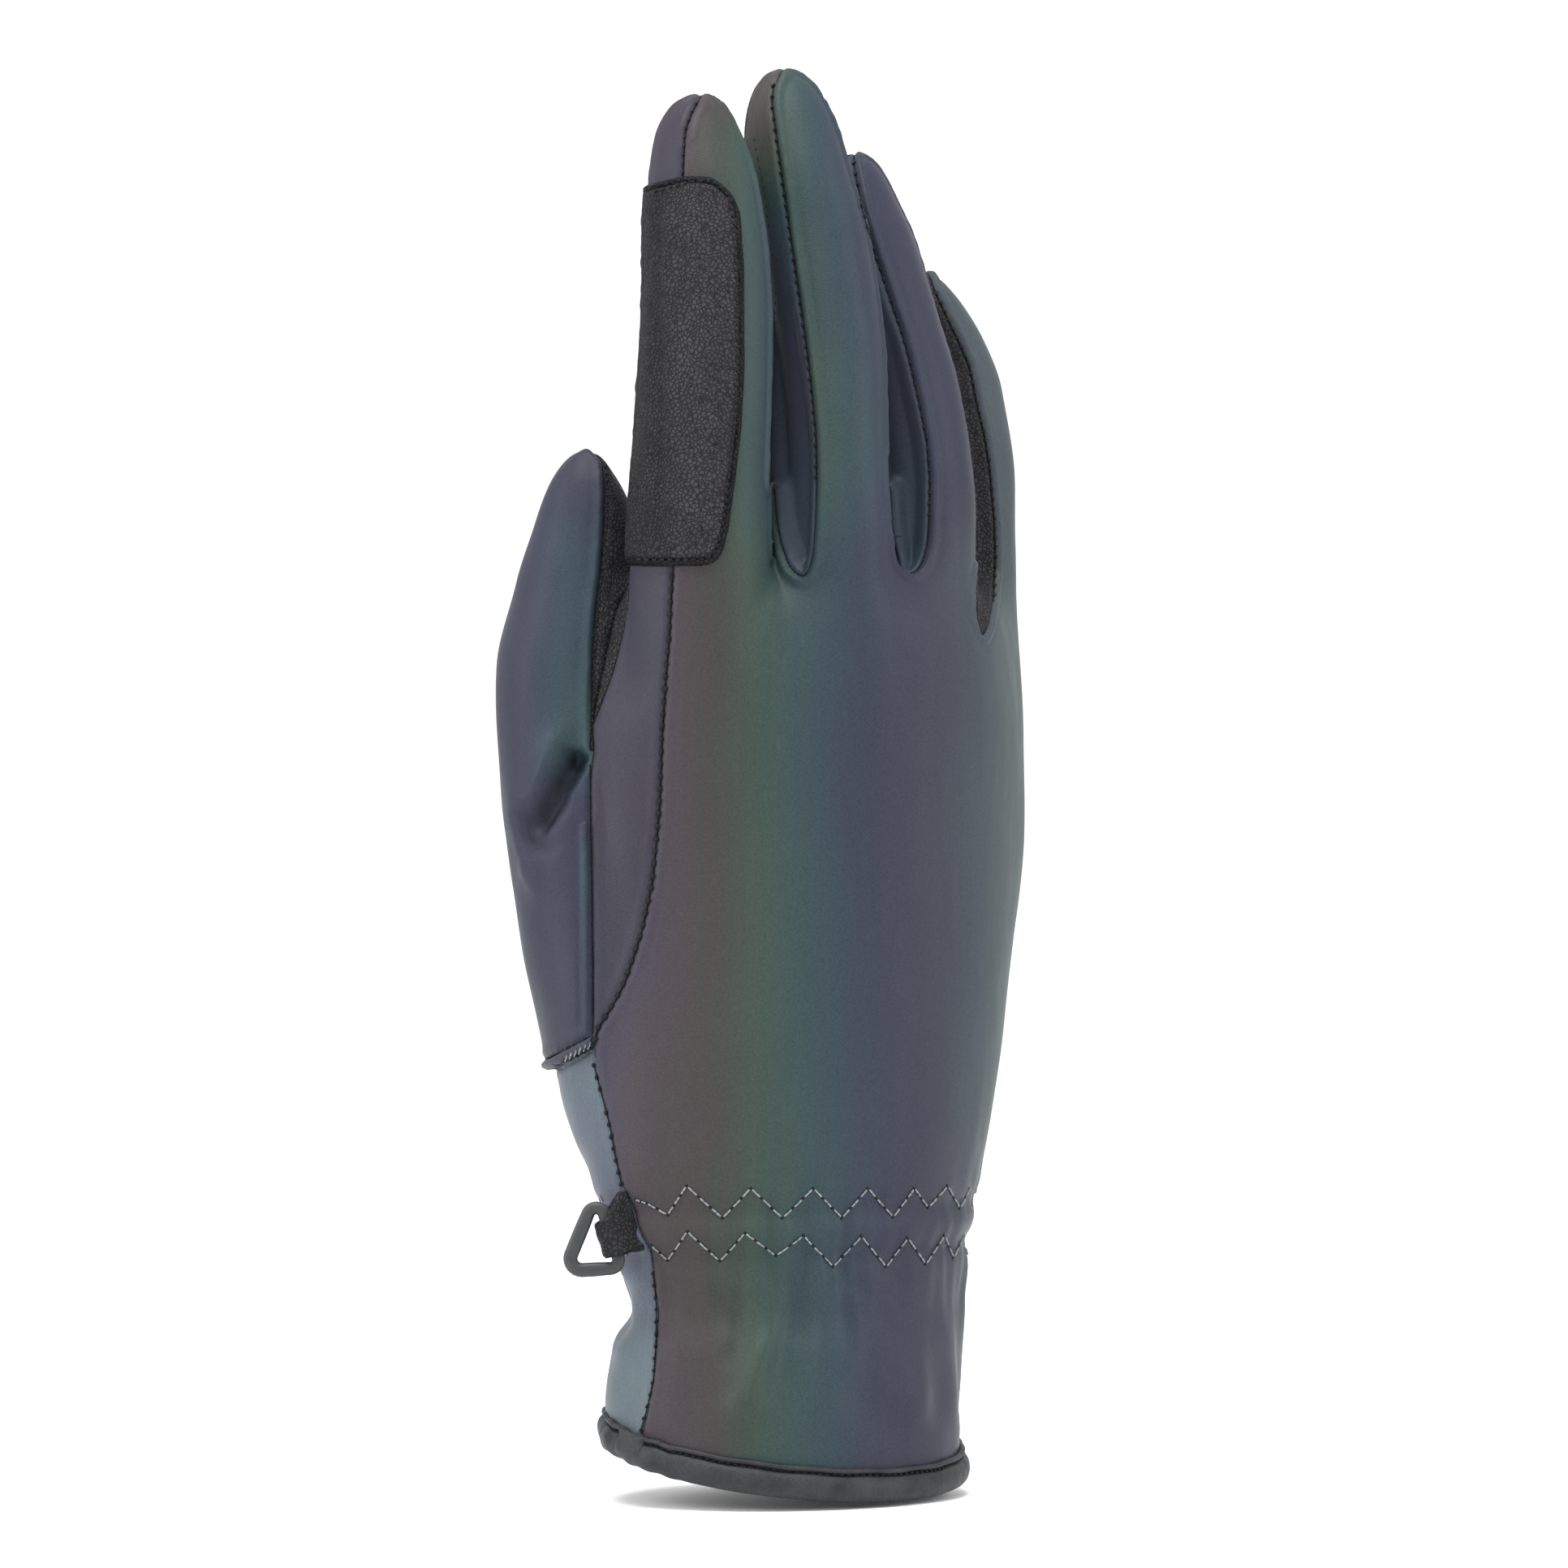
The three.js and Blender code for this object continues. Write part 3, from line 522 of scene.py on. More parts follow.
def subdivide(T, mid, V):
    """Each triangle cut at the middles given for its edges 01, 12, 20 (-1 for none)."""
    out = []
    pattern = (mid >= 0) @ np.array([1, 2, 4])
    out.append(T[pattern == 0])
    for k in range(3):
        one = pattern == (1 << k)
        a, b, c = T[one, k], T[one, (k + 1) % 3], T[one, (k + 2) % 3]
        m = mid[one, k]
        out += [np.stack([a, m, c], 1), np.stack([m, b, c], 1)]
        # cuts on edges k and k+1 meet at vertex k+1
        two = pattern == ((1 << k) | (1 << ((k + 1) % 3)))
        a, b, c = T[two, k], T[two, (k + 1) % 3], T[two, (k + 2) % 3]
        m, n = mid[two, k], mid[two, (k + 1) % 3]
        out.append(np.stack([m, b, n], 1))
        flat = np.linalg.norm(V[a] - V[n], axis=1) < np.linalg.norm(V[m] - V[c], axis=1)
        out += [
            np.stack([a[flat], m[flat], n[flat]], 1), np.stack([a[flat], n[flat], c[flat]], 1),
            np.stack([a[~flat], m[~flat], c[~flat]], 1), np.stack([m[~flat], n[~flat], c[~flat]], 1),
        ]
    full = pattern == 7
    a, b, c = T[full].T
    m, n, o = mid[full].T
    out += [np.stack(q, 1) for q in ((a, m, o), (m, b, n), (o, n, c), (m, n, o))]
    return np.concatenate(out)


print("net")
V, Q = surface_nets(skin, (-50, -30, -9), (60, 40, 240), 1.12)
T = to_triangles(V, Q)
V = project(V, 2)
for _ in range(3):
    V = project(relax(V, T, 0.5), 1)
V = project(V, 1)
mesh = Mesh(V, T)
print("points", len(V), "triangles", len(T))


def sense(m):
    return Sense(m.V, normals_of(m.V, m.T))


def masked(f, keep):
    return np.where(keep, f, np.nan)


# the glove ends inside the binding
mesh.split(mouth(mesh.V) - 0.9, limit=9)
keep = (mouth(mesh.V)[mesh.T].mean(1)) > 0.9
mesh.T = mesh.T[keep]
used, back = np.unique(mesh.T, return_inverse=True)
mesh.V, mesh.T, mesh.locked = mesh.V[used], back.reshape(-1, 3), mesh.locked[used]

s = sense(mesh)
mesh.split(masked(s.thumbness, s.z > hem_z(s.P) - 3), limit=3.0)
s = sense(mesh)
mesh.split(masked(s.z - hem_z(s.P), s.thumbness < 2.5), limit=3.0)
s = sense(mesh)
mesh.split(masked(s.z - hem_z(s.P) - HEM_TALL, s.thumbness < 1.2), limit=3.0)
s = sense(mesh)
onthumb = (s.thumbness < 1.5) & (s.z > hem_z(s.P))
mesh.split(masked((s.px - x_thumb(s.py)) * POINT, onthumb & s.facing & (s.py < 930) & (s.turn["thumb"] > -125)))
s = sense(mesh)
onthumb = (s.thumbness < 1.5) & (s.z > hem_z(s.P))
rr = LIMBS["thumb"].radius(s.P)
mesh.split(masked(np.radians(s.turn["thumb"] + 168) * rr, onthumb & (s.z > 55)))
s = sense(mesh)
mesh.split(masked(s.z - 61, (s.thumbness < 1.5) & (s.turn["thumb"] < -80)))
s = sense(mesh)
off = s.thumbness > -1.5
mesh.split(masked((s.px - x_index(s.py)) * POINT, off & (s.py < 1296) & (s.P[:, 0] < 0) & (s.P[:, 1] < 12) & (s.is_limb("index") | (s.z < 150)) & s.facing))
s = sense(mesh)
mesh.split(masked((s.px - x_cuff(s.py)) * POINT, (s.py > 1280) & (s.px < 900) & s.facing & (s.P[:, 1] < 8)))
s = sense(mesh)
mesh.split(masked(s.P[:, 1] - 5, (s.z < 66) & (s.P[:, 0] > 0)))
s = sense(mesh)
mesh.split(masked(s.z - cuff_top(s.P), (s.P[:, 1] > 3) | (s.P[:, 0] < -10)))
s = sense(mesh)
mesh.split(masked(palm_seam(s.P), (s.z > 62) & (s.z < WEB_Z + 1.5) & (s.thumbness > -2)))
s = sense(mesh)
mesh.split(masked(s.z - WEB_Z, (s.P[:, 0] > -45)))
for name, seam in (("middle", x_middle), ("ring", x_ring), ("little", x_little)):
    s = sense(mesh)
    on = s.is_limb(name) | (s.is_limb("palm") & (s.z > 132))
    mesh.split(masked((s.px - seam(s.py)) * POINT, on & s.facing & (s.z > 134) & (s.P[:, 1] < 24)))
for name, rim, bottom in (("index", r_index, 712), ("middle", r_middle, 708), ("ring", r_ring, 783)):
    s = sense(mesh)
    mesh.split(masked((s.px - rim(s.py)) * POINT, s.facing & (s.py > 555) & (s.py < bottom + 12) & (s.P[:, 1] < 16)))
for name in ORDER[2:]:
    for where in (PALM_TURN, -PALM_TURN) + ((-ULNAR[name],) if name in ULNAR else ()):
        s = sense(mesh)
        t = s.turn[name] - where
        t = (t + 180) % 360 - 180
        mesh.split(masked(np.radians(t) * LIMBS[name].radius(s.P), s.is_limb(name) & (s.z > WEB_Z - 2) & (np.abs(t) < 60)))

centre = mesh.V[mesh.T].mean(1)
fn = np.cross(mesh.V[mesh.T[:, 1]] - mesh.V[mesh.T[:, 0]], mesh.V[mesh.T[:, 2]] - mesh.V[mesh.T[:, 0]])
s = Sense(centre, fn)
label = labels(s)

NAMES = ["back_panel", "index_side_panel", "wrist_side_panel", "thumb_back", "thumb_hem", "fourchette_index_middle", "fourchette_middle_ring", "fourchette_ring_little", "palm_panel", "thumb_grip"]
code = np.array([NAMES.index(x) for x in label])


def tidy(T, code):
    """Loose chips take the name of what surrounds them."""
    E, tri = edges_of(T)
    pair = np.full((len(E), 2), -1)
    order = np.argsort(tri.ravel(), kind="stable")
    flat = tri.ravel()[order]
    owner = order // 3
    first = np.searchsorted(flat, np.arange(len(E)))
    pair[:, 0] = owner[first]
    second = first + 1
    has = (second < len(flat)) & (flat[np.minimum(second, len(flat) - 1)] == np.arange(len(E)))
    pair[has, 1] = owner[second[has]]
    both = pair[:, 1] >= 0
    for _ in range(6):
        same = both.copy()
        same[both] = code[pair[both, 0]] == code[pair[both, 1]]
        root = np.arange(len(T))
        a, b = pair[same].T
        while True:
            low = np.minimum(root[a], root[b])
            before = root.copy()
            np.minimum.at(root, a, low)
            np.minimum.at(root, b, low)
            root = root[root]
            if (root == before).all():
                break
        size = np.bincount(root, minlength=len(T))
        small = np.zeros(len(T), bool)
        best = {}
        for r in np.nonzero(size)[0]:
            best.setdefault(code[r], []).append((size[r], r))
        for c, found in best.items():
            biggest = max(found)[1]
            for n_in, r in found:
                if r != biggest and n_in < 160:
                    small |= root == r
        if not small.any():
            break
        edge = both & ~same
        p, q = pair[edge].T
        vote = np.full(len(T), -1)
        for one, other in ((p, q), (q, p)):
            take = small[one] & ~small[other]
            for o, w in zip(root[one[take]], code[other[take]]):
                vote[o] = w
        change = small & (vote[root] >= 0)
        code = code.copy()
        code[change] = vote[root[change]]
    return code


code = tidy(mesh.T, code)


def seam_edges(T, code):
    E, tri = edges_of(T)
    lo = np.full(len(E), 99)
    hi = np.full(len(E), -1)
    for k in range(3):
        np.minimum.at(lo, tri[:, k], code)
        np.maximum.at(hi, tri[:, k], code)
    count = np.bincount(tri.ravel(), minlength=len(E))
    border = count == 1
    return E[(lo != hi) & ~border], lo[(lo != hi) & ~border], hi[(lo != hi) & ~border], E[border]


E, lo, hi, rim = seam_edges(mesh.T, code)

# the seams themselves are eased, so that they run without steps
onseam = np.zeros(len(mesh.V), bool)
onseam[E.ravel()] = True
for _ in range(4):
    total = np.zeros_like(mesh.V)
    for c in range(3):
        total[:, c] = np.bincount(E[:, 0], mesh.V[E[:, 1], c], len(mesh.V)) + np.bincount(E[:, 1], mesh.V[E[:, 0], c], len(mesh.V))
    degree = np.bincount(E.ravel(), minlength=len(mesh.V))
    two = degree == 2
    mesh.V[two] = mesh.V[two] * 0.5 + 0.5 * total[two] / 2
fixed = onseam.copy()
fixed[rim.ravel()] = True
for _ in range(2):
    mesh.V = relax(mesh.V, mesh.T, 0.4, fixed)
mesh.V = project(mesh.V, 1)


def refine(m, code, reach, longest):
    """Shorter edges near the seams."""
    E, lo, hi, rim = seam_edges(m.T, code)
    tree = KDTree(len(E))
    for i, p in enumerate((m.V[E[:, 0]] + m.V[E[:, 1]]) / 2):
        tree.insert(p, i)
    tree.balance()
    A, tri = edges_of(m.T)
    middle = (m.V[A[:, 0]] + m.V[A[:, 1]]) / 2
    long = np.linalg.norm(m.V[A[:, 0]] - m.V[A[:, 1]], axis=1) > longest
    near = np.zeros(len(A), bool)
    for i in np.nonzero(long)[0]:
        near[i] = tree.find(middle[i])[2] < reach
    cut = np.nonzero(near)[0]
    new = np.full(len(A), -1)
    new[cut] = len(m.V) + np.arange(len(cut))
    V = np.concatenate([m.V, middle[cut]])
    T = m.T
    mid = new[tri]
    # the codes follow by asking which triangle each new one came from
    tag = np.arange(len(T))
    out, codes = [], []
    pattern = (mid >= 0) @ np.array([1, 2, 4])
    for p in range(8):
        pick = pattern == p
        if not pick.any():
            continue
        made = subdivide(T[pick], mid[pick], V)
        # every pattern makes its children in blocks of one order, so ask by shape
        c = code[pick]
        kids = len(made) // pick.sum() if p else 1
        if p in (0, 1, 2, 4, 7):
            codes.append(np.tile(c, kids))
        else:
            k = {3: 0, 6: 1, 5: 2}[p]
            a, b, cc = T[pick][:, k], T[pick][:, (k + 1) % 3], T[pick][:, (k + 2) % 3]
            mm, nn = mid[pick][:, k], mid[pick][:, (k + 1) % 3]
            flat = np.linalg.norm(V[a] - V[nn], axis=1) < np.linalg.norm(V[mm] - V[cc], axis=1)
            codes.append(np.concatenate([c, c[flat], c[flat], c[~flat], c[~flat]]))
        out.append(made)
    m.T = np.concatenate(out)
    m.V = V
    m.locked = np.concatenate([m.locked, np.zeros(len(cut), bool)])
    return np.concatenate(codes)


code = refine(mesh, code, 3.2, 0.78)
code = refine(mesh, code, 1.15, 0.47)
seam_now, lo, hi, rim = seam_edges(mesh.T, code)
held = np.zeros(len(mesh.V), bool)
held[seam_now.ravel()] = True
mesh.V = project(mesh.V, 1)
print("refined", len(mesh.V), len(mesh.T))


# ---------------------------------------------------------------- seams, rims and folds
V0 = mesh.V.copy()
N0 = normals_of(mesh.V, mesh.T)
T0 = mesh.T
S0 = Sense(V0, N0)


def seam_tree(V, E, step=0.25):
    a, b = V[E[:, 0]], V[E[:, 1]]
    points, owner = [], []
    for t in (0.0, 0.33, 0.66):
        points.append(a + t * (b - a))
        owner.append(np.arange(len(E)))
    points, owner = np.concatenate(points), np.concatenate(owner)
    tree = KDTree(len(points))
    for i, q in enumerate(points):
        tree.insert(q, i)
    tree.balance()
    return tree, owner


tree, owner = seam_tree(V0, seam_now)
dist = np.empty(len(V0))
near_edge = np.empty(len(V0), int)
for i, q in enumerate(V0):
    _, j, d = tree.find(q)
    dist[i] = d
    near_edge[i] = owner[j]
near_lo, near_hi = lo[near_edge], hi[near_edge]
vcode = np.zeros(len(V0), int)
vcode[T0.ravel()] = np.repeat(code, 3)
C = {n: i for i, n in enumerate(NAMES)}


def pair_is(a, b):
    x, y = sorted((C[a], C[b]))
    return (near_lo == x) & (near_hi == y)


def bell(x, w):
    return np.exp(-((x / w) ** 2))


def waves(P, count, low, high, seed):
    """Smooth noise: plain waves of lengths low..high in every direction."""
    r = np.random.default_rng(seed)
    out = np.zeros(len(P))
    for _ in range(count):
        way = r.normal(size=3)
        way /= np.linalg.norm(way)
        out += np.sin(P @ way * (2 * math.pi / r.uniform(low, high)) + r.uniform(0, 7))
    return out / math.sqrt(count)


def stroke(px, py, points):
    """Distance in mm from a drawn line, which side of it, and how far along (0..1)."""
    p = np.array(points, float)
    best = np.full(len(px), 1e9)
    side = np.zeros(len(px))
    along = np.zeros(len(px))
    total = np.concatenate([[0], np.cumsum(np.linalg.norm(np.diff(p, axis=0), axis=1))])
    for i in range(len(p) - 1):
        ex, ey = p[i + 1] - p[i]
        l2 = ex * ex + ey * ey
        t = np.clip(((px - p[i, 0]) * ex + (py - p[i, 1]) * ey) / l2, 0, 1)
        dx, dy = px - p[i, 0] - t * ex, py - p[i, 1] - t * ey
        d = np.hypot(dx, dy)
        new = d < best
        best[new] = d[new]
        side[new] = np.sign(ex * dy - ey * dx)[new]
        along[new] = ((total[i] + t * math.sqrt(l2)) / total[-1])[new]
    return best * POINT, side, along


shell_side = np.isin(vcode, [C[n] for n in ("back_panel", "index_side_panel", "thumb_back", "wrist_side_panel")])
lift = -0.36 * bell(dist, 0.33) + 0.17 * bell(dist - 1.25, 0.7)
rough = waves(V0, 8, 1.9, 3.2, 3)
lift += 0.05 * rough * bell(dist - 0.9, 0.9)
lift += 0.14 * waves(V0, 7, 16, 42, 5) * smooth(0, 4, dist)

# slots between the fingers: the strip sinks, and the back rolls over it
fa = vcode == C["fourchette_index_middle"]
fb = vcode == C["fourchette_middle_ring"]
fc = vcode == C["fourchette_ring_little"]
seen = S0.facing & (V0[:, 1] < 20)
low_slot = smooth(330, 560, S0.py)
lift -= np.where(fa & seen, (0.5 + 2.3 * low_slot) * smooth(0.1, 2.8, dist), 0)
lift -= np.where(fb & seen, (0.5 + 2.0 * low_slot) * smooth(0.1, 2.8, dist), 0)
lift -= np.where(fc & seen, 1.0 * smooth(0.1, 2.0, dist), 0)
rim_pair = pair_is("back_panel", "fourchette_index_middle") | pair_is("back_panel", "fourchette_middle_ring")
lift += np.where(rim_pair & (vcode == C["back_panel"]), 0.38 * bell(dist - 0.9, 0.65) - 0.12 * bell(dist - 2.1, 0.4), 0)
little_pair = pair_is("back_panel", "fourchette_ring_little")
lift += np.where(little_pair & (vcode == C["back_panel"]), 0.30 * bell(dist - 1.0, 0.6) - 0.14 * bell(dist - 2.0, 0.4), 0)

# thumb root: a rolled ridge beside the seam, the hem band, a step below it
root_pair = pair_is("index_side_panel", "thumb_back")
lift += np.where(root_pair & (vcode == C["thumb_back"]) & (S0.py > 1015), 0.5 * bell(dist - 0.95, 0.6) - 0.18 * bell(dist - 2.2, 0.5), 0)
grip_pair = pair_is("thumb_back", "thumb_grip")
lift += np.where(grip_pair & (vcode == C["thumb_back"]), 0.30 * bell(dist - 0.9, 0.6), 0)
lift += np.where(vcode == C["thumb_hem"], 0.75 - 0.5 * bell(dist, 0.3), 0)
under = np.clip(hem_z(V0) - S0.z, 0, None)
near_thumb = smooth(3.5, 0.5, S0.thumbness) * (vcode == C["wrist_side_panel"])
lift -= np.where(near_thumb > 0, near_thumb * 1.7 * np.exp(-under / 7.0), 0)

# fold and hollow at the thumb's root
thumb_seen = (vcode == C["thumb_back"]) & S0.facing
px, py = S0.px, S0.py
d, side, along = stroke(px, py, [(724, 922), (712, 946), (698, 968), (684, 990), (670, 1012), (657, 1036)])
ends = smooth(0, 0.12, along) * (1 - smooth(0.75, 1.0, along)) + 0.25
lower = side > 0
width = np.where(lower, 3.1, 1.5)
hollow = -4.3 * np.exp(-((d / width) ** 2)) * np.minimum(1, ends)
d2, _, along2 = stroke(px, py, [(722, 946), (708, 958), (700, 975), (684, 985), (680, 1000), (668, 1024)])
lip = 1.3 * bell(d2 - 0.5, 0.9) * smooth(0, 0.1, along2)
d3, _, along3 = stroke(px, py, [(630, 940), (634, 985), (641, 1030), (648, 1058), (657, 1090), (668, 1150)])
ridge = 1.25 * bell(d3, 1.5) * smooth(0, 0.3, along3) * (1 - smooth(0.6, 1, along3))
d4, _, along4 = stroke(px, py, [(640, 1000), (646, 1030), (656, 1044), (676, 1046), (700, 1036)])
crease = -1.2 * bell(d4, 1.0) * (1 - smooth(0.5, 1, along4))
d5, _, along5 = stroke(px, py, [(652, 1075), (664, 1120), (676, 1180), (684, 1250)])
fold = -0.8 * bell(d5, 1.9) * smooth(0, 0.2, along5) * (1 - smooth(0.7, 1, along5))
d6, _, along6 = stroke(px, py, [(700, 880), (676, 930), (655, 985), (646, 1020)])
fold2 = 1.0 * bell(d6, 1.7) * smooth(0, 0.3, along6) * (1 - smooth(0.85, 1, along6))
keep_off = smooth(0.2, 1.6, dist)
lift += np.where(thumb_seen, (hollow + lip + ridge + crease + fold + fold2) * keep_off, 0)

# cuff: two drawn-in rows, upright gathers between and below them, soft folds down to the binding
cuff = np.isin(vcode, [C["back_panel"], C["wrist_side_panel"]]) & (S0.z < 62)
ang = np.arctan2(V0[:, 1], V0[:, 0] - 1.0)
zz = S0.z - 0.06 * V0[:, 0] * 0
r = np.random.default_rng(21)
fine = np.zeros(len(V0))
for n in (17, 23, 29, 34, 41, 47):
    fine += np.sin(n * ang + r.uniform(0, 7) + 0.05 * zz * r.normal()) * r.uniform(0.6, 1.0)
fine *= 0.45
big = np.zeros(len(V0))
for n in (5, 8, 11, 14):
    big += np.sin(n * ang + r.uniform(0, 7) + 0.07 * zz * r.normal()) * r.uniform(0.6, 1.0)
big *= 0.5
patches = 0.55 + 0.45 * np.sin(3 * ang + 1.3)
draw = 0.44 * bell(zz - 39.4, 7.5) + 0.34 * bell(zz - 30, 7)
lift += np.where(cuff, fine * draw * patches - 0.55 * bell(zz - 43.1, 1.7) - 0.55 * bell(zz - 35.9, 1.7) + 0.35 * bell(zz - 39.5, 2.0), 0)
lift += np.where(cuff, big * 0.95 * smooth(4, 12, zz) * (1 - smooth(30, 37, zz)), 0)
d7, _, along7 = stroke(px, py, [(935, 1560), (952, 1600), (950, 1645), (930, 1700), (898, 1770)])
front = (vcode == C["back_panel"]) & S0.facing
lift += np.where(front, 1.5 * bell(d7, 2.2) * smooth(0, 0.25, along7) * (1 - smooth(0.75, 1, along7)), 0)
d8, _, along8 = stroke(px, py, [(880, 1575), (905, 1610), (915, 1650), (890, 1700)])
lift += np.where(front, -1.2 * bell(d8, 2.2) * smooth(0, 0.3, along8) * (1 - smooth(0.7, 1, along8)), 0)
d9, _, along9 = stroke(px, py, [(1030, 1570), (1050, 1610), (1056, 1660), (1040, 1720)])
lift += np.where(front, 1.0 * bell(d9, 2.1) * smooth(0, 0.3, along9) * (1 - smooth(0.7, 1, along9)), 0)
wr = waves(V0, 6, 5, 11, 9)
lift += np.where((vcode == C["wrist_side_panel"]), 0.42 * wr * bell(S0.z - 30, 16), 0)

moved = V0 + N0 * lift[:, None]
# the sunk strips and folds are eased once, so that no point crosses its neighbour
soft = (np.abs(lift) > 0.8) & ~held
eased = relax(moved, T0, 0.5)
moved[soft] = eased[soft]
for _ in range(3):
    eased = relax(moved, T0, 1.0)
    stray = np.linalg.norm(eased - moved, axis=1) > np.where(S0.z > 226, 0.12, np.where(S0.z > 200, 0.3, 0.6))
    moved[stray] = eased[stray]
# painted shade: the deeper the thumb's root hollow and crease sink, the darker their colour is made
hollow_painted_shade = smooth(0.7, 3.4, -np.where(thumb_seen, (hollow + crease) * keep_off, 0))

# ---------------------------------------------------------------- how the colour bands run
band = S0.px.copy()
for k, name in enumerate(ORDER[2:]):
    seam = (x_index, x_middle, x_ring, x_little)[k](S0.py)
    across = S0.px - seam
    own = (830 + across * 1.55, 932 + across * 1.45, 1062 + across * 1.15, 1205 + across * 0.55)[k]
    high = smooth((712, 712, 712, 790)[k], (560, 560, 560, 640)[k], S0.py) * S0.is_limb(name)
    band = band * (1 - high) + own * high
band = np.where(fa | fb, 1052 + 22 * np.sin(S0.py / 60), band)
band += 50 * smooth(1150, 1350, S0.py) * smooth(880, 770, S0.px) * (vcode == C["back_panel"]) * S0.facing
tip = smooth(330, 130, S0.py)
band = np.where(fa, band * (1 - tip) + 865 * tip, band)
down = smooth(560, 690, S0.py) * (1 - smooth(900, 1010, S0.py))
thumb_band = 1128 - 126 * down * smooth(618, 700, S0.px)
thumb_band -= 100 * smooth(1015, 1060, S0.py) * bell(S0.px - 719, 8) * S0.facing
thumb_band += 26 * np.sin(S0.py / 90)
band = np.where(vcode == C["thumb_back"], thumb_band, band)
band = np.where(vcode == C["thumb_hem"], 1180, band)
band = np.where(vcode == C["wrist_side_panel"], 1195 + 20 * np.sin(S0.z / 9), band)
band = np.where(vcode == C["index_side_panel"], 775 + 12 * np.sin(S0.py / 70) + 10 * smooth(300, 130, S0.py), band)
# on the back panel the bands wander a little
band += 9 * waves(V0, 5, 30, 70, 13) * (vcode == C["back_panel"])
band = np.clip((band - 700) / 600, 0, 1)


# ---------------------------------------------------------------- making meshes
def make(name, V, faces, smoothed=True, attributes=None, body="glove"):
    me = bpy.data.meshes.new(name)
    V = np.asarray(V, float) * MM
    if isinstance(faces, np.ndarray) and faces.ndim == 2:
        k = faces.shape[1]
        me.vertices.add(len(V))
        me.vertices.foreach_set("co", V.astype(np.float32).ravel())
        me.loops.add(faces.size)
        me.loops.foreach_set("vertex_index", faces.astype(np.int32).ravel())
        me.polygons.add(len(faces))
        me.polygons.foreach_set("loop_start", np.arange(0, faces.size, k, dtype=np.int32))
        me.update(calc_edges=True)
    else:
        me.from_pydata(V.tolist(), [], [list(map(int, f)) for f in faces])
    me.polygons.foreach_set("use_smooth", np.full(len(me.polygons), smoothed))
    for key, values in (attributes or {}).items():
        a = me.attributes.new(key, "FLOAT", "POINT")
        a.data.foreach_set("value", np.asarray(values, np.float32))
    me.validate()
    me.update()
    ob = bpy.data.objects.new(name, me)
    bpy.context.scene.collection.objects.link(ob)
    if body:
        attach(ob, body)
    return ob


def shell(name, T, V, N, attributes, thick, gap=0.0):
    """A panel: the outer face, its edge turned in, and the inner face."""
    used, back = np.unique(T, return_inverse=True)
    T = back.reshape(-1, 3)
    V, N = V[used], N[used]
    n = len(V)
    H = np.concatenate([T[:, [0, 1]], T[:, [1, 2]], T[:, [2, 0]]])
    key = H[:, 0].astype(np.int64) * n + H[:, 1]
    rev = H[:, 1].astype(np.int64) * n + H[:, 0]
    edge = H[~np.isin(key, rev)]
    on = np.zeros(n, bool)
    on[edge.ravel()] = True
    # step in from the seam
    way = edge[:, 1], edge[:, 0]
    t = V[edge[:, 1]] - V[edge[:, 0]]
    t /= np.maximum(np.linalg.norm(t, axis=1), 1e-9)[:, None]
    inward = np.cross((N[edge[:, 0]] + N[edge[:, 1]]) / 2, t)
    step = np.zeros_like(V)
    for c in range(3):
        step[:, c] = np.bincount(edge[:, 0], inward[:, c], n) + np.bincount(edge[:, 1], inward[:, c], n)
    big = np.linalg.norm(step, axis=1)
    step[big > 0] /= big[big > 0][:, None]
    V = V + step * gap
    inner = V - N * thick + step * 0.02
    # the narrow ends of the panels stay level with the fingertips
    V[:, 2] = np.minimum(V[:, 2], 233.7)
    inner[:, 2] = np.minimum(inner[:, 2], 233.2)
    walls = np.concatenate([
        np.stack([edge[:, 1], edge[:, 0], edge[:, 0] + n], 1),
        np.stack([edge[:, 1], edge[:, 0] + n, edge[:, 1] + n], 1),
    ])
    faces = np.concatenate([T, walls, T[:, ::-1] + n])
    both = {k: np.concatenate([v[used], v[used]]) for k, v in attributes.items()}
    return make(name, np.concatenate([V, inner]), faces, attributes=both)


THICK = {"index_side_panel": 1.1, "thumb_hem": 0.9}
# seam (distance to the nearest seam) also sets painted shade in the seam grooves; deep sets painted shade in the
# thumb's root hollow
attributes = {"seam": dist, "band": band, "deep": hollow_painted_shade}
panels = {}
for i, name in enumerate(NAMES):
    panels[name] = shell("soft_" + name, T0[code == i], moved, N0, attributes, THICK.get(name, 1.25))
    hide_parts(name)
print("panels", {n: len(o.data.polygons) for n, o in panels.items()})

outer = BVHTree.FromPolygons([Vector(p) for p in moved], T0.tolist(), all_triangles=True)
MN = normals_of(moved, T0)


def pick(px, py):
    """Point and normal where the line of sight meets the glove."""
    way = sight(px, py)
    hit, normal, index, _ = outer.ray_cast(Vector(EYE), Vector(way))
    if hit is None:
        return None
    tri = T0[index]
    n = MN[tri].mean(0)
    return np.array(hit), n / np.linalg.norm(n)


def resample(points, step, start=0.0):
    p = np.array(points, float)
    s = np.concatenate([[0], np.cumsum(np.linalg.norm(np.diff(p, axis=0), axis=1))])
    at = np.arange(start, s[-1], step)
    return np.stack([np.interp(at, s, p[:, k]) for k in range(p.shape[1])], 1)


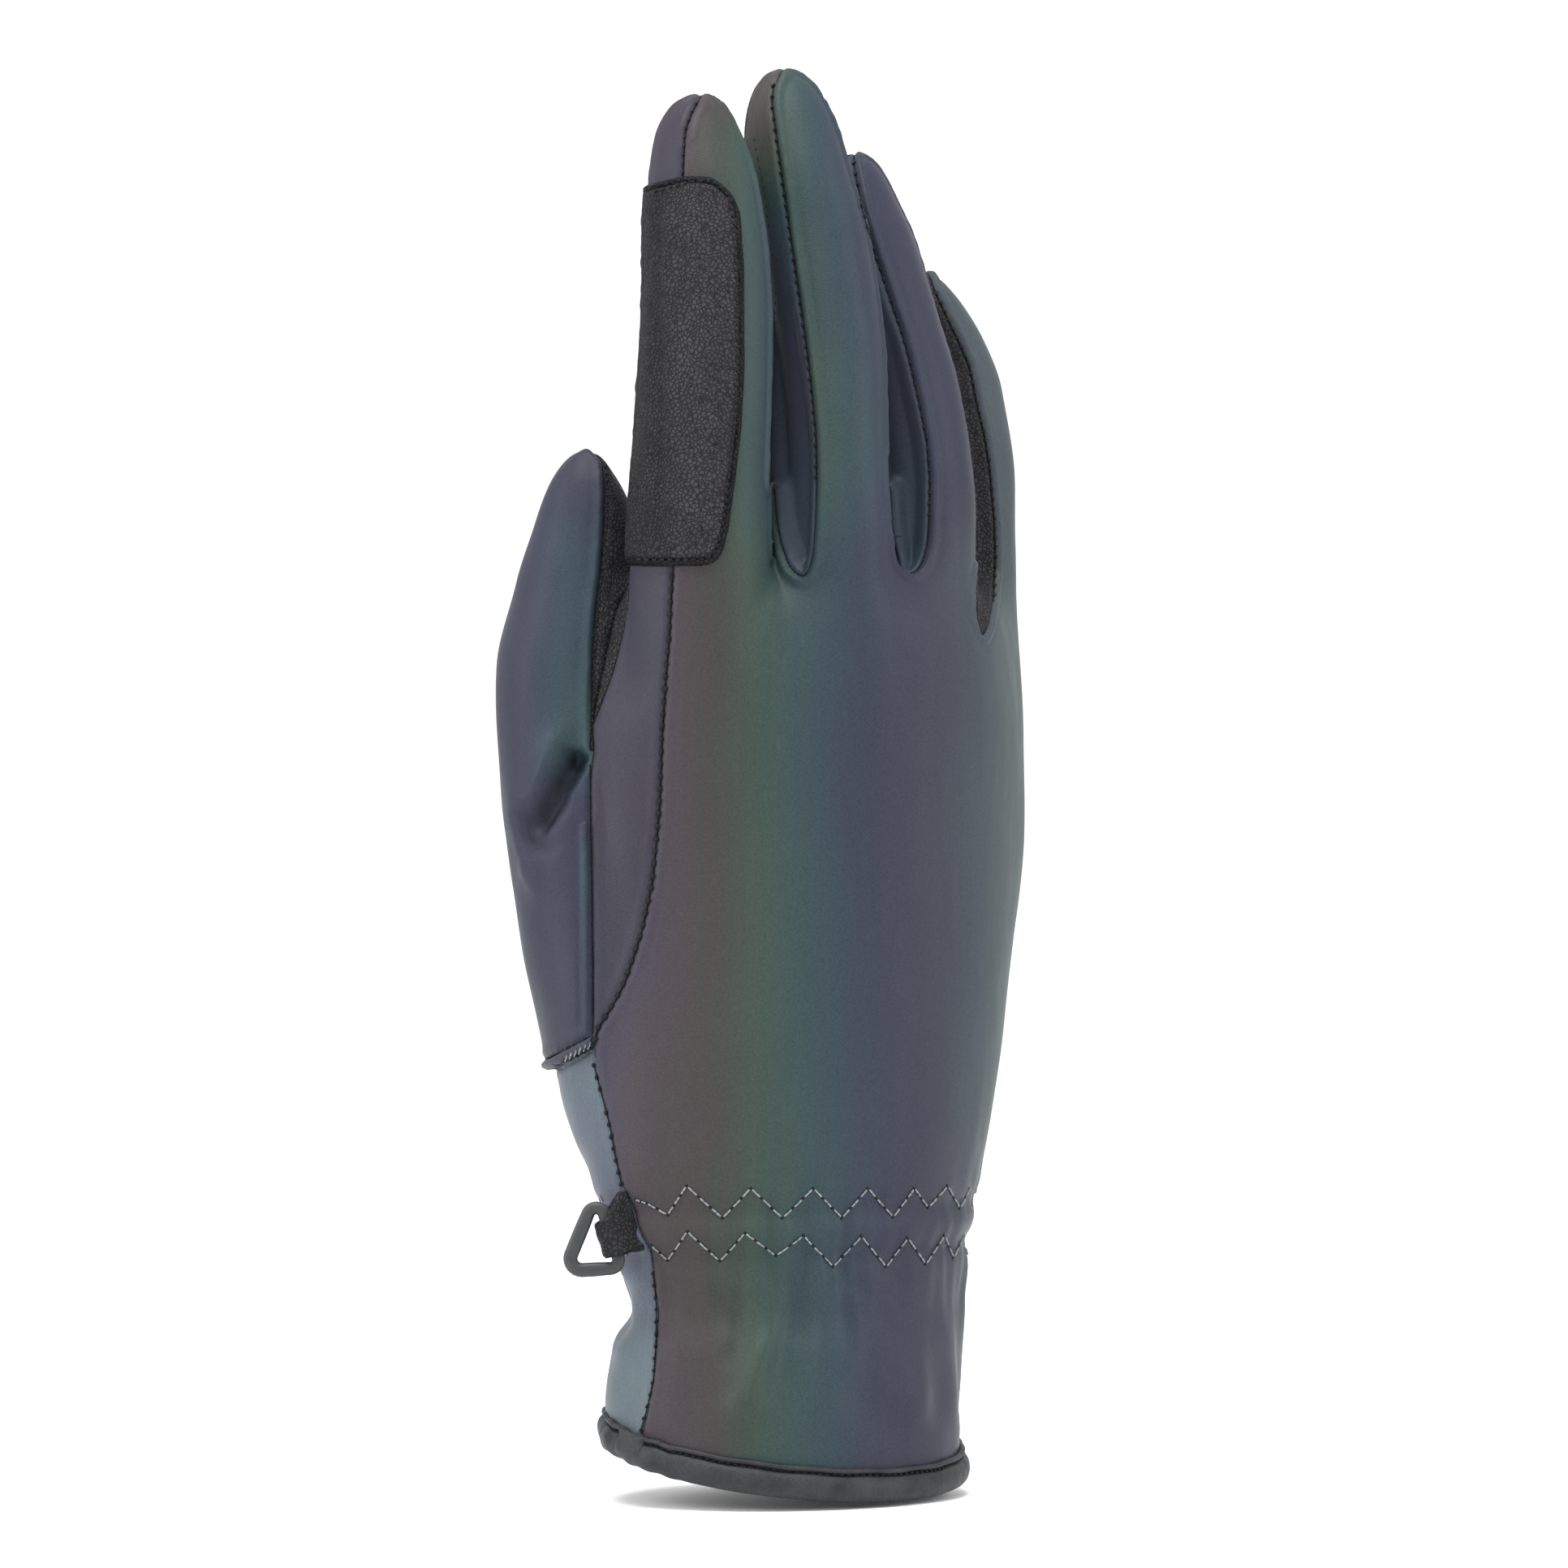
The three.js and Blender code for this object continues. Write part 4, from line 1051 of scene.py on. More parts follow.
class Threads:
    """Many short rounded stitches in one mesh."""

    def __init__(self):
        self.V, self.F, self.n = [], [], 0

    def add(self, a, b, radius, sides=6, flat=1.0, up=None, sag=0.0):
        a, b = np.asarray(a, float), np.asarray(b, float)
        axis = b - a
        length = np.linalg.norm(axis)
        if length < 1e-6:
            return
        axis /= length
        up = np.array([0, 0, 1.0]) if up is None else up
        side = np.cross(axis, up)
        if np.linalg.norm(side) < 1e-6:
            side = np.cross(axis, [1.0, 0.3, 0])
        side /= np.linalg.norm(side)
        up = np.cross(side, axis)
        stations = [(0.0, 0.45), (0.12, 0.85), (0.3, 1.0), (0.7, 1.0), (0.88, 0.85), (1.0, 0.45)]
        ring = []
        for t, k in stations:
            middle = a + axis * length * t + up * (-sag * (2 * t - 1) ** 2)
            for j in range(sides):
                w = 2 * math.pi * j / sides
                ring.append(middle + radius * k * (math.cos(w) * side + flat * math.sin(w) * up))
        base = self.n
        self.V += ring
        for r_ in range(len(stations) - 1):
            for j in range(sides):
                a0, b0 = base + r_ * sides + j, base + r_ * sides + (j + 1) % sides
                self.F += [(a0, b0, b0 + sides), (a0, b0 + sides, a0 + sides)]
        last = base + (len(stations) - 1) * sides
        for j in range(1, sides - 1):
            self.F += [(base, base + j + 1, base + j), (last, last + j, last + j + 1)]
        self.n += len(ring)

    def done(self, name):
        return make(name, np.array(self.V), np.array(self.F))


dark = Threads()
light = Threads()
jit = np.random.default_rng(31)


def seam_run(points, pitch=15.4, wide=3.2, dots=True, radius=0.30, join=True, first=0.0):
    """Dark stitches that cross a seam, and the thread lying in it."""
    at = resample(points, pitch, first)
    fine_at = resample(points, 4.0)
    last = None
    for q in fine_at if join else ():
        got = pick(*q)
        if got is None:
            last = None
            continue
        here = got[0] + got[1] * 0.02
        if last is not None and np.linalg.norm(here - last) < 1.6:
            dark.add(last, here, 0.13, 5, up=got[1])
        last = here
    for i in range(len(at)):
        a = at[i]
        b = at[min(i + 1, len(at) - 1)]
        c = at[max(i - 1, 0)]
        t = (b - c) / max(np.linalg.norm(b - c), 1e-6)
        n = np.array([-t[1], t[0]])
        turn = jit.uniform(-0.25, 0.5)
        way = t * math.sin(0.9 + turn) + n * math.cos(0.9 + turn)
        size = wide * jit.uniform(0.8, 1.15)
        p0, p1 = a - way * size * 0.8, a + way * size * 0.8
        g0, g1 = pick(*p0), pick(*p1)
        if g0 is None or g1 is None or np.linalg.norm(g0[0] - g1[0]) > 2.5:
            continue
        up = g0[1] + g1[1]
        up /= np.linalg.norm(up)
        lift_ = 0.24
        if g0[1] @ TO_EYE < 0.15 or g1[1] @ TO_EYE < 0.15:
            continue
        dark.add(g0[0] + g0[1] * lift_, g1[0] + g1[1] * lift_, radius, 6, up=up, flat=0.8)


seam_run([(x, y) for x, y in SEAM_INDEX if y >= 711], 15.4, wide=5.2, radius=0.42)
seam_run([(x, y) for x, y in SEAM_INDEX if 128 <= y <= 216], 11.0, wide=2.6, radius=0.2)
seam_run([(x, y) for x, y in SEAM_MIDDLE if 100 <= y <= 640], 13.5, wide=3.4, radius=0.28)
seam_run([(x, y) for x, y in SEAM_RING if 200 <= y <= 640], 13.5, wide=3.0, radius=0.25)
seam_run([(x, y) for x, y in SEAM_LITTLE if 350 <= y <= 745], 12.0, wide=3.0, radius=0.25)
seam_run([(x, y) for x, y in SEAM_CUFF if 1290 <= y <= 1475], 15.0, wide=4.2, radius=0.34)
seam_run([(x, y) for x, y in SEAM_CUFF if 1540 <= y <= 1765], 15.0, wide=3.2, radius=0.27)
seam_run([(x + 3, y) for x, y in SEAM_THUMB if 566 <= y <= 918], 9.0, wide=2.2, radius=0.2, join=False)
seam_run(SEAM_ROOT[1:-1], 13.0, wide=1.4, radius=0.13)
seam_run([(930, 172), (943, 235), (951, 300), (957, 350), (956, 400)], 12.0, wide=1.4, radius=0.14, join=False)


def zigzag(points, radius=0.165):
    p = np.array(points, float)
    for a, b in zip(p[:-1], p[1:]):
        length = np.linalg.norm(b - a)
        n = max(2, int(round(length / 17)))
        for k in range(n):
            t0, t1 = (k + 0.14) / n, (k + 0.86) / n
            prev = None
            cuts = np.linspace(t0, t1, 3)
            got = [pick(*(a + (b - a) * t)) for t in cuts]
            if any(g is None for g in got):
                continue
            q = [g[0] + g[1] * (0.16, 0.24, 0.16)[i] for i, g in enumerate(got)]
            light.add(q[0], q[1], radius, 6, up=got[1][1])
            light.add(q[1], q[2], radius, 6, up=got[1][1])
            hole = pick(*(a + (b - a) * (k / n)))
            if hole is not None:
                e = (b - a) / length * 1.8
                h0, h1 = pick(*(a + (b - a) * (k / n) - e)), pick(*(a + (b - a) * (k / n) + e))
                if h0 is not None and h1 is not None:
                    dark.add(h0[0] + h0[1] * 0.02, h1[0] + h1[1] * 0.02, 0.24, 6, up=hole[1], flat=0.6)


UPPER = [(783, 1478), (797, 1482), (823, 1497), (846, 1461), (890, 1501), (925, 1464), (964, 1501), (1002, 1464), (1037, 1501), (1069, 1464), (1100, 1500), (1126, 1464), (1143, 1488), (1167, 1461), (1182, 1489), (1196, 1461)]
LOWER = [(803, 1534), (823, 1553), (847, 1517), (887, 1554), (918, 1519), (956, 1547), (990, 1522), (1026, 1561), (1061, 1523), (1091, 1561), (1118, 1525), (1140, 1558), (1163, 1522), (1174, 1550), (1189, 1519)]
zigzag(UPPER)
zigzag(LOWER)


def cast_in(angle, z):
    """Point of the cuff's outside at an angle round the hand."""
    c = np.array([1.0, 0.0, z])
    way = np.array([math.cos(angle), math.sin(angle), 0])
    hit, n, i, _ = outer.ray_cast(Vector(c + way * 70), Vector(-way))
    if hit is None:
        return None
    n = MN[T0[i]].mean(0)
    return np.array(hit), n / np.linalg.norm(n)


# the zigzag rows go on round the hidden side
for row_z, shift in ((42.9, 0.0), (35.7, 0.5)):
    turns = np.arange(-0.78, 3.55, 0.13)
    knots = [(t, row_z + (2.4 if (k % 2) else -2.4)) for k, t in enumerate(turns + shift * 0.1)]
    for (a0, z0), (a1, z1) in zip(knots[:-1], knots[1:]):
        for k in range(3):
            ends_ = []
            for t in ((k + 0.14) / 3, (k + 0.86) / 3):
                ends_.append(cast_in(a0 + (a1 - a0) * t, z0 + (z1 - z0) * t))
            if any(e is None for e in ends_) or np.linalg.norm(ends_[0][0] - ends_[1][0]) > 3.5:
                continue
            pxy = image(ends_[0][0][None])
            if ends_[0][1] @ TO_EYE > 0.05 and 770 < pxy[0][0] < 1212:
                continue
            light.add(ends_[0][0] + ends_[0][1] * 0.18, ends_[1][0] + ends_[1][1] * 0.18, 0.165, 6, up=ends_[0][1])

# overlock thread along the thumb's hem
hem_points = []
for x in np.arange(679, 727, 5.6):
    u = (x - 966) * POINT
    z = 69.3 + 0.55 * (u + 32.4)
    y = 1835 - (z + 5) / POINT
    g0, g1 = pick(x, y + 1.5), pick(x + 3.2, y - 6.5)
    if g0 is None or g1 is None or np.linalg.norm(g0[0] - g1[0]) > 3:
        continue
    light.add(g0[0] + g0[1] * 0.12, g1[0] + g1[1] * 0.12, 0.17, 5, up=g0[1])
for x in (700, 709, 717, 725):
    u = (x - 966) * POINT
    y = 1835 - (69.3 + 0.55 * (u + 32.4) + 5) / POINT
    g0, g1 = pick(x, y + 2), pick(x + 3.5, y)
    if g0 is not None and g1 is not None and np.linalg.norm(g0[0] - g1[0]) < 3:
        dark.add(g0[0] + g0[1] * 0.2, g1[0] + g1[1] * 0.2, 0.26, 6, up=g0[1])

# ---------------------------------------------------------------- reinforcement patch
def patch_field(P, s):
    right = line([(868, 190), (884, 214), (902, 238), (911, 264), (915, 330), (916, 450), (912, 525), (905, 590), (897, 650), (889, 684), (880, 720)])
    psi = s.turn["index"]
    rr_ = LIMBS["index"].radius(P)
    f1 = np.where(s.facing & (psi < 80), (s.px - right(s.py)) * POINT, -9.0)
    top = np.interp(s.px, [795, 800, 842, 880, 905], [236, 228, 218, 219, 232])
    f2 = (top - s.py) * POINT
    f3 = (s.py - np.interp(s.px, [770, 800, 885], [696, 698, 697])) * POINT
    f4 = np.radians(psi - 123.0) * rr_
    return np.where(psi < -12, 9.0, -smin(-smin_max(f1, f2, f3), -f4, 0.4))


def smin_max(f1, f2, f3):
    return -smin(-f1, smin(-f2, -f3, 0.4), 3.2)


base = Mesh(V.copy(), T.copy())
bn = normals_of(base.V, base.T)
bs = Sense(base.V, bn)
pf = patch_field(base.V, bs)
near = (bs.is_limb("index") | bs.is_limb("palm")) & (bs.z > 138) & (bs.z < 226) & (bs.P[:, 0] < 0)
pf = np.where(near, pf, 50.0)
keep_t = (pf[base.T] < 2.5).all(1)
base.T = base.T[keep_t]
used, back_ = np.unique(base.T, return_inverse=True)
base.V, base.T = base.V[used], back_.reshape(-1, 3)
base.locked = np.zeros(len(base.V), bool)
full_n = bn[used]
pf = pf[used]
base.split(pf, limit=3)


def patch_values(P):
    g = gradient(P)
    n = g / np.maximum(np.linalg.norm(g, axis=1), 1e-9)[:, None]
    return n, patch_field(P, Sense(P, n))


pn, pf = patch_values(base.V)
inside = pf[base.T].mean(1) < 0
base.T = base.T[inside]
used, back_ = np.unique(base.T, return_inverse=True)
base.V, base.T = base.V[used], back_.reshape(-1, 3)
for _ in range(2):
    A, tri = edges_of(base.T)
    middle = (base.V[A[:, 0]] + base.V[A[:, 1]]) / 2
    _, e_mid = patch_values(middle)
    long = np.linalg.norm(base.V[A[:, 0]] - base.V[A[:, 1]], axis=1)
    cut = np.nonzero((long > 0.75) | ((long > 0.32) & (e_mid > -2.6)))[0]
    new = np.full(len(A), -1)
    new[cut] = len(base.V) + np.arange(len(cut))
    base.V = np.concatenate([base.V, middle[cut]])
    base.T = subdivide(base.T, new[tri], base.V)
rim_count, rim_tri = edges_of(base.T)
is_rim = np.bincount(rim_tri.ravel(), minlength=len(rim_count)) == 1
rim_v = np.zeros(len(base.V), bool)
rim_v[rim_count[is_rim].ravel()] = True
inner_v = ~rim_v
P2 = project(base.V, 1)
base.V[inner_v] = P2[inner_v]
pn, pf = patch_values(base.V)
# distance in from the edge, measured on the surface
pk = KDTree(int(rim_v.sum()))
for j, i in enumerate(np.nonzero(rim_v)[0]):
    pk.insert(base.V[i], j)
pk.balance()
into = np.array([pk.find(q)[2] for q in base.V])
px2, py2 = image(base.V)
raise_ = 0.42 + 0.75 * (1 - np.exp(-((into / 0.45) ** 1.4)))
raise_ += -0.42 * bell(into - 1.15, 0.28) + 0.10 * bell(into - 0.62, 0.3) + 0.12 * bell(into - 1.9, 0.6)
raise_ += 0.07 * waves(base.V, 8, 1.8, 3.0, 17) * bell(into - 0.8, 0.9)
raise_ += 0.10 * waves(base.V, 6, 9, 20, 19)
raise_ += 0.30 * bell((px2 - 829) * POINT, 1.1) * smooth(2, 6, into) - 0.28 * bell((px2 - 818) * POINT, 0.9) * smooth(2, 6, into)
patch_top = base.V + pn * raise_[:, None]
# flange marks the patch's border strip, and left marks its part beyond the bend, which the patch material darkens as
# painted shade
patch = shell("soft_index_patch", base.T, patch_top, pn, {"seam": np.abs(into - 1.15) + 0.05, "flange": 1 - smooth(0.8, 1.35, into), "left": smooth(842, 816, px2)}, 0.95, gap=0.0)
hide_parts("index_patch")

# its border stitches: dark dots in the sunk line
edge_line = []
right_pts = [(870, 222), (884, 226), (896, 240), (903, 264), (907, 330), (908, 450), (904, 525), (897, 590), (889, 650), (882, 680), (870, 689)]
border = [(803, 237), (842, 227), (862, 223)] + right_pts + [(845, 690), (800, 690), (779, 689)]
patch_tree = BVHTree.FromPolygons([Vector(q) for q in patch_top], base.T.tolist(), all_triangles=True)
PNn = normals_of(patch_top, base.T)


def pick_patch(px, py):
    hit, n, i, _ = patch_tree.ray_cast(Vector(EYE), Vector(sight(px, py)))
    if hit is None:
        return None
    n = PNn[base.T[i]].mean(0)
    return np.array(hit), n / np.linalg.norm(n)


at = resample(border, 9.5)
for a, b in zip(at[:-1], at[1:]):
    g0, g1 = pick_patch(*(a + (b - a) * 0.22)), pick_patch(*(a + (b - a) * 0.78))
    if g0 is None or g1 is None or np.linalg.norm(g0[0] - g1[0]) > 2.5:
        continue
    dark.add(g0[0] + g0[1] * 0.14, g1[0] + g1[1] * 0.14, 0.27, 6, up=g0[1])

# ---------------------------------------------------------------- cuff binding
palm_limb = LIMBS["palm"]


def hem_point(p, h):
    x = y = 0.0
    z = h
    for _ in range(5):
        g = palm_limb.grid
        cx, cy = np.interp(z, g, palm_limb.cx), np.interp(z, g, palm_limb.cy)
        size, ratio = np.interp(z, g, palm_limb.size), np.interp(z, g, palm_limb.ratio)
        a, b = math.sqrt(size * ratio), math.sqrt(size / ratio)
        x, y = cx - a * math.sin(p), cy - b * math.cos(p)
        z = 0.205 * y - 0.048 * x + h
    n = np.array([-math.sin(p) / a, -math.cos(p) / b, 0.0])
    return np.array([x, y, z]), n / np.linalg.norm(n)


PROFILE = [(-0.5, -0.25), (0.35, -0.22), (1.1, 0.1), (1.62, 0.7), (1.86, 1.5), (1.88, 2.3), (1.68, 3.1), (1.28, 3.75), (0.86, 4.12), (0.55, 4.28), (0.52, 4.42), (0.74, 4.55), (1.0, 4.74), (1.1, 4.98), (1.0, 5.25), (0.72, 5.42), (0.3, 5.46), (0.06, 5.3), (-0.2, 5.1), (-1.7, 5.1), (-2.15, 5.2), (-2.55, 4.9), (-2.68, 4.2), (-2.66, 3.0), (-2.62, 1.6), (-2.45, 0.6), (-2.0, 0.0), (-1.3, -0.22)]
STATIONS = 420
ring_pts = []
turns = np.linspace(0, 2 * math.pi, STATIONS, endpoint=False)
wv = np.random.default_rng(41)
phases = wv.uniform(0, 7, 12)
for p in turns:
    foot, n = hem_point(p, 2.0)
    fx, _ = image(foot[None])
    left = 1.0 - float(smooth(800, 880, fx[0]))
    seen_left = left if foot @ TO_EYE > -6 else 0.3
    crinkle = sum(math.sin(k * p + phases[i]) for i, k in enumerate((23, 31, 44, 57))) / 4
    slow = sum(math.sin(k * p + phases[i + 4]) for i, k in enumerate((5, 9, 14))) / 3
    for j, (o, h) in enumerate(PROFILE):
        base_p, nn = hem_point(p, h)
        face = 1.0 if 2 <= j <= 16 else 0.25
        low_roll = 1.0 if 2 <= j <= 8 else 0.35
        o2 = o + face * (0.07 * crinkle + 0.10 * slow) + low_roll * seen_left * 0.22 * math.sin(15 * p + 0.35 * h)
        h2 = h + face * 0.07 * math.sin(19 * p + 2.0) + seen_left * 0.12 * math.sin(37 * p)
        base_p, nn = hem_point(p, h2)
        ring_pts.append(base_p + nn * o2)
m = len(PROFILE)
faces = []
for i in range(STATIONS):
    for j in range(m):
        a, b = i * m + j, i * m + (j + 1) % m
        c, d_ = ((i + 1) % STATIONS) * m + (j + 1) % m, ((i + 1) % STATIONS) * m + j
        faces.append((a, d_, c, b))
height = np.tile(np.array([h for _, h in PROFILE]), STATIONS)
binding = make("soft_cuff_binding", np.array(ring_pts), np.array(faces), attributes={"seam": np.abs(height - 4.35)})
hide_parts("cuff_binding")
sub = binding.modifiers.new("finer", "SUBSURF")
sub.levels = sub.render_levels = 1

# stitches in the groove, and the join
for i in range(0, 150):
    p = 2 * math.pi * (i + 0.2) / 150
    q0, n0 = hem_point(p, 4.36)
    q1, n1 = hem_point(p + 2 * math.pi * 0.62 / 150, 4.36)
    dark.add(q0 + n0 * 0.72, q1 + n1 * 0.72, 0.17, 5, up=n0)


def turn_at(px):
    best = min((abs(image(hem_point(p, 3)[0][None])[0][0] - px), p) for p in turns if hem_point(p, 3)[0] @ TO_EYE > 0)
    return best[1]


p0, p1 = turn_at(770), turn_at(799)
flap_v, flap_t = [], []
cols_, rows_ = 14, 12
for i in range(cols_):
    t = i / (cols_ - 1)
    p = p0 + (p1 - p0) * t
    for j in range(rows_):
        w = j / (rows_ - 1)
        h = 5.35 - 4.3 * w * (1 - 0.25 * t)
        o = np.interp(h, [0, 0.7, 1.5, 2.3, 3.1, 3.75, 4.3, 4.98, 5.4], [1.0, 1.62, 1.86, 1.88, 1.68, 1.3, 0.95, 1.12, 0.8])
        edge_ = min(1, 6 * min(t, 1 - t)) * min(1, 6 * min(w, 1 - w))
        q, n = hem_point(p, h)
        flap_v.append(q + n * (o + 0.12 + 0.42 * edge_))
top_n = len(flap_v)
for i in range(cols_):
    t = i / (cols_ - 1)
    p = p0 + (p1 - p0) * t
    for j in range(rows_):
        w = j / (rows_ - 1)
        h = 5.35 - 4.3 * w * (1 - 0.25 * t)
        o = np.interp(h, [0, 0.7, 1.5, 2.3, 3.1, 3.75, 4.3, 4.98, 5.4], [1.0, 1.62, 1.86, 1.88, 1.68, 1.3, 0.95, 1.12, 0.8])
        q, n = hem_point(p, h)
        flap_v.append(q + n * (o - 0.3))
flap_f = []
for i in range(cols_ - 1):
    for j in range(rows_ - 1):
        a, b, c, d_ = i * rows_ + j, i * rows_ + j + 1, (i + 1) * rows_ + j + 1, (i + 1) * rows_ + j
        flap_f += [(a, b, c, d_), (d_ + top_n, c + top_n, b + top_n, a + top_n)]
rim_loop = [(i, 0) for i in range(cols_)] + [(cols_ - 1, j) for j in range(1, rows_)] + [(i, rows_ - 1) for i in range(cols_ - 2, -1, -1)] + [(0, j) for j in range(rows_ - 2, 0, -1)]
ids = [i * rows_ + j for i, j in rim_loop]
for a, b in zip(ids, ids[1:] + ids[:1]):
    flap_f.append((a, a + top_n, b + top_n, b) if True else None)
flap = make("binding_join", np.array(flap_v), np.array(flap_f), attributes={"seam": np.full(len(flap_v), 2.0)})

# ---------------------------------------------------------------- tab and hook ring


def across(u, d, z):
    return np.array([u * CT + d * ST, -u * ST + d * CT, z])


def unit(v):
    return v / np.linalg.norm(v)


out_way = unit(across(-0.94, -0.34, 0))
bar_way = unit(across(0.305, 0, -0.952))
down = out_way * math.cos(math.radians(29)) + np.array([0, 0, -math.sin(math.radians(29))])
hang = unit(down - bar_way * (down @ bar_way))
thru = unit(np.cross(bar_way, hang))
bar_mid = across(-24.9, -18.9, 39.65) + across(-0.718, -0.695, 0) * 1.9 + hang * 2.5
WIRE, LEAF = 1.15, 0.85
eye_r = WIRE + 0.28 + LEAF / 2
path = [(-4.6, 0.40), (-3.6, 0.55), (-2.7, 0.85), (-1.9, 1.25)]
for a in np.radians(np.arange(125, -126, -14)):
    path.append((eye_r * math.cos(a), eye_r * math.sin(a)))
path += [(-1.9, -1.25), (-2.7, -0.85), (-3.6, -0.55), (-4.6, -0.40)]
path = np.array(path)
fine = resample(path, 0.22)
tang = np.gradient(fine, axis=0)
tang /= np.linalg.norm(tang, axis=1)[:, None]
nrm = np.stack([-tang[:, 1], tang[:, 0]], 1)
COLS = 15
tab_v, tab_n = [], len(fine)
for side_ in (1, -1):
    for i, (t, w) in enumerate(fine):
        back_t = min(1.4, max(0.0, -t / 2.5))
        for c in range(COLS):
            e = -1 + 2 * c / (COLS - 1)
            at_bar, at_root = (2.6 + 1.0 * float(smooth(0.7, -0.6, t)), 5.4) if e < 0 else (3.6, 3.9)
            s_ = (at_bar + (at_root - at_bar) * back_t) * e + 0.12 * math.sin(1.7 * t + 2 * e)
            thick_ = LEAF / 2 * (1 - 0.55 * max(0.0, (abs(e) - 0.82) / 0.18) ** 2)
            wob = 0.07 * math.sin(2.1 * s_ + 1.3 * t)
            q = fine[i] + nrm[i] * (side_ * thick_ + wob)
            tab_v.append(bar_mid + bar_way * s_ + hang * q[0] + thru * q[1])
tab_f = []
off_ = tab_n * COLS
for i in range(tab_n - 1):
    for c in range(COLS - 1):
        a, b = i * COLS + c, i * COLS + c + 1
        tab_f += [(a, b, b + COLS, a + COLS), (off_ + a, off_ + a + COLS, off_ + b + COLS, off_ + b)]
    for c, flip in ((0, False), (COLS - 1, True)):
        a, b = i * COLS + c, (i + 1) * COLS + c
        quad = (a, b, off_ + b, off_ + a)
        tab_f.append(quad[::-1] if flip else quad)
for i, flip in ((0, True), (tab_n - 1, False)):
    for c in range(COLS - 1):
        a, b = i * COLS + c, i * COLS + c + 1
        quad = (a, b, off_ + b, off_ + a)
        tab_f.append(quad[::-1] if flip else quad)
tab = make("soft_ring_tab", np.array(tab_v), np.array(tab_f))
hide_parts("ring_tab")

ring_way = np.array([0, 0, -1.0])
ring_way = unit(ring_way - bar_way * (ring_way @ bar_way))
ring_thru = unit(np.cross(bar_way, ring_way))
corners = [np.array(q, float) for q in ((-7.45, 0), (5.74, 0), (3.38, 9.13))]
ROUND = (1.4, 1.4, 1.9)
loop = []
for i, c in enumerate(corners):
    a = unit(corners[i - 1] - c)
    b = unit(corners[(i + 1) % 3] - c)
    half = math.acos(a @ b) / 2
    centre_ = c + unit(a + b) * (ROUND[i] / math.sin(half))
    foot_ = ROUND[i] / math.tan(half)
    f0, f1 = c + a * foot_ - centre_, c + b * foot_ - centre_
    t0, t1 = math.atan2(f0[1], f0[0]), math.atan2(f1[1], f1[0])
    turn_ = (t1 - t0 + math.pi) % (2 * math.pi) - math.pi
    for j in range(13):
        w = t0 + turn_ * j / 12
        loop.append(centre_ + ROUND[i] * np.array([math.cos(w), math.sin(w)]))
loop = np.array(loop)
closed = np.concatenate([loop, loop[:1]])
loop = resample(closed, 0.3)
SIDES = 18
ring_v = []
for i in range(len(loop)):
    a, b = loop[i - 1], loop[(i + 1) % len(loop)]
    t = unit(b - a)
    n = np.array([t[1], -t[0]])
    # the moulded bar is a little flatter than round, and thicker away from the tab
    k = 1.0 + 0.10 * smooth(1.5, 4.5, loop[i][1])
    for j in range(SIDES):
        w = 2 * math.pi * j / SIDES
        cw, sw = math.cos(w), math.sin(w)
        box = (abs(cw) ** 2.8 + abs(sw) ** 2.8) ** (-1 / 2.8)
        q = loop[i] + n * (1.08 * k * box * cw)
        ring_v.append(bar_mid + bar_way * q[0] + ring_way * q[1] + ring_thru * (1.02 * box * sw))
ring_f = []
L_ = len(loop)
for i in range(L_):
    for j in range(SIDES):
        a, b = i * SIDES + j, i * SIDES + (j + 1) % SIDES
        c, d_ = ((i + 1) % L_) * SIDES + (j + 1) % SIDES, ((i + 1) % L_) * SIDES + j
        ring_f.append((a, b, c, d_))
hook = make("moulded_hook_ring", np.array(ring_v), np.array(ring_f), body="ring")
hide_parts("hook_ring")

stitches_dark = dark.done("stitches_dark")
stitches_light = light.done("stitches_light")


def outward(ob):
    """Faces point out of a closed piece."""
    import bmesh
    bm = bmesh.new()
    bm.from_mesh(ob.data)
    bmesh.ops.recalc_face_normals(bm, faces=bm.faces)
    bm.to_mesh(ob.data)
    bm.free()


for ob in (binding, flap, tab, hook, stitches_dark, stitches_light):
    outward(ob)

# ---------------------------------------------------------------- materials


def lin(c):
    c = c / 255.0
    return c / 12.92 if c <= 0.04045 else ((c + 0.055) / 1.055) ** 2.4


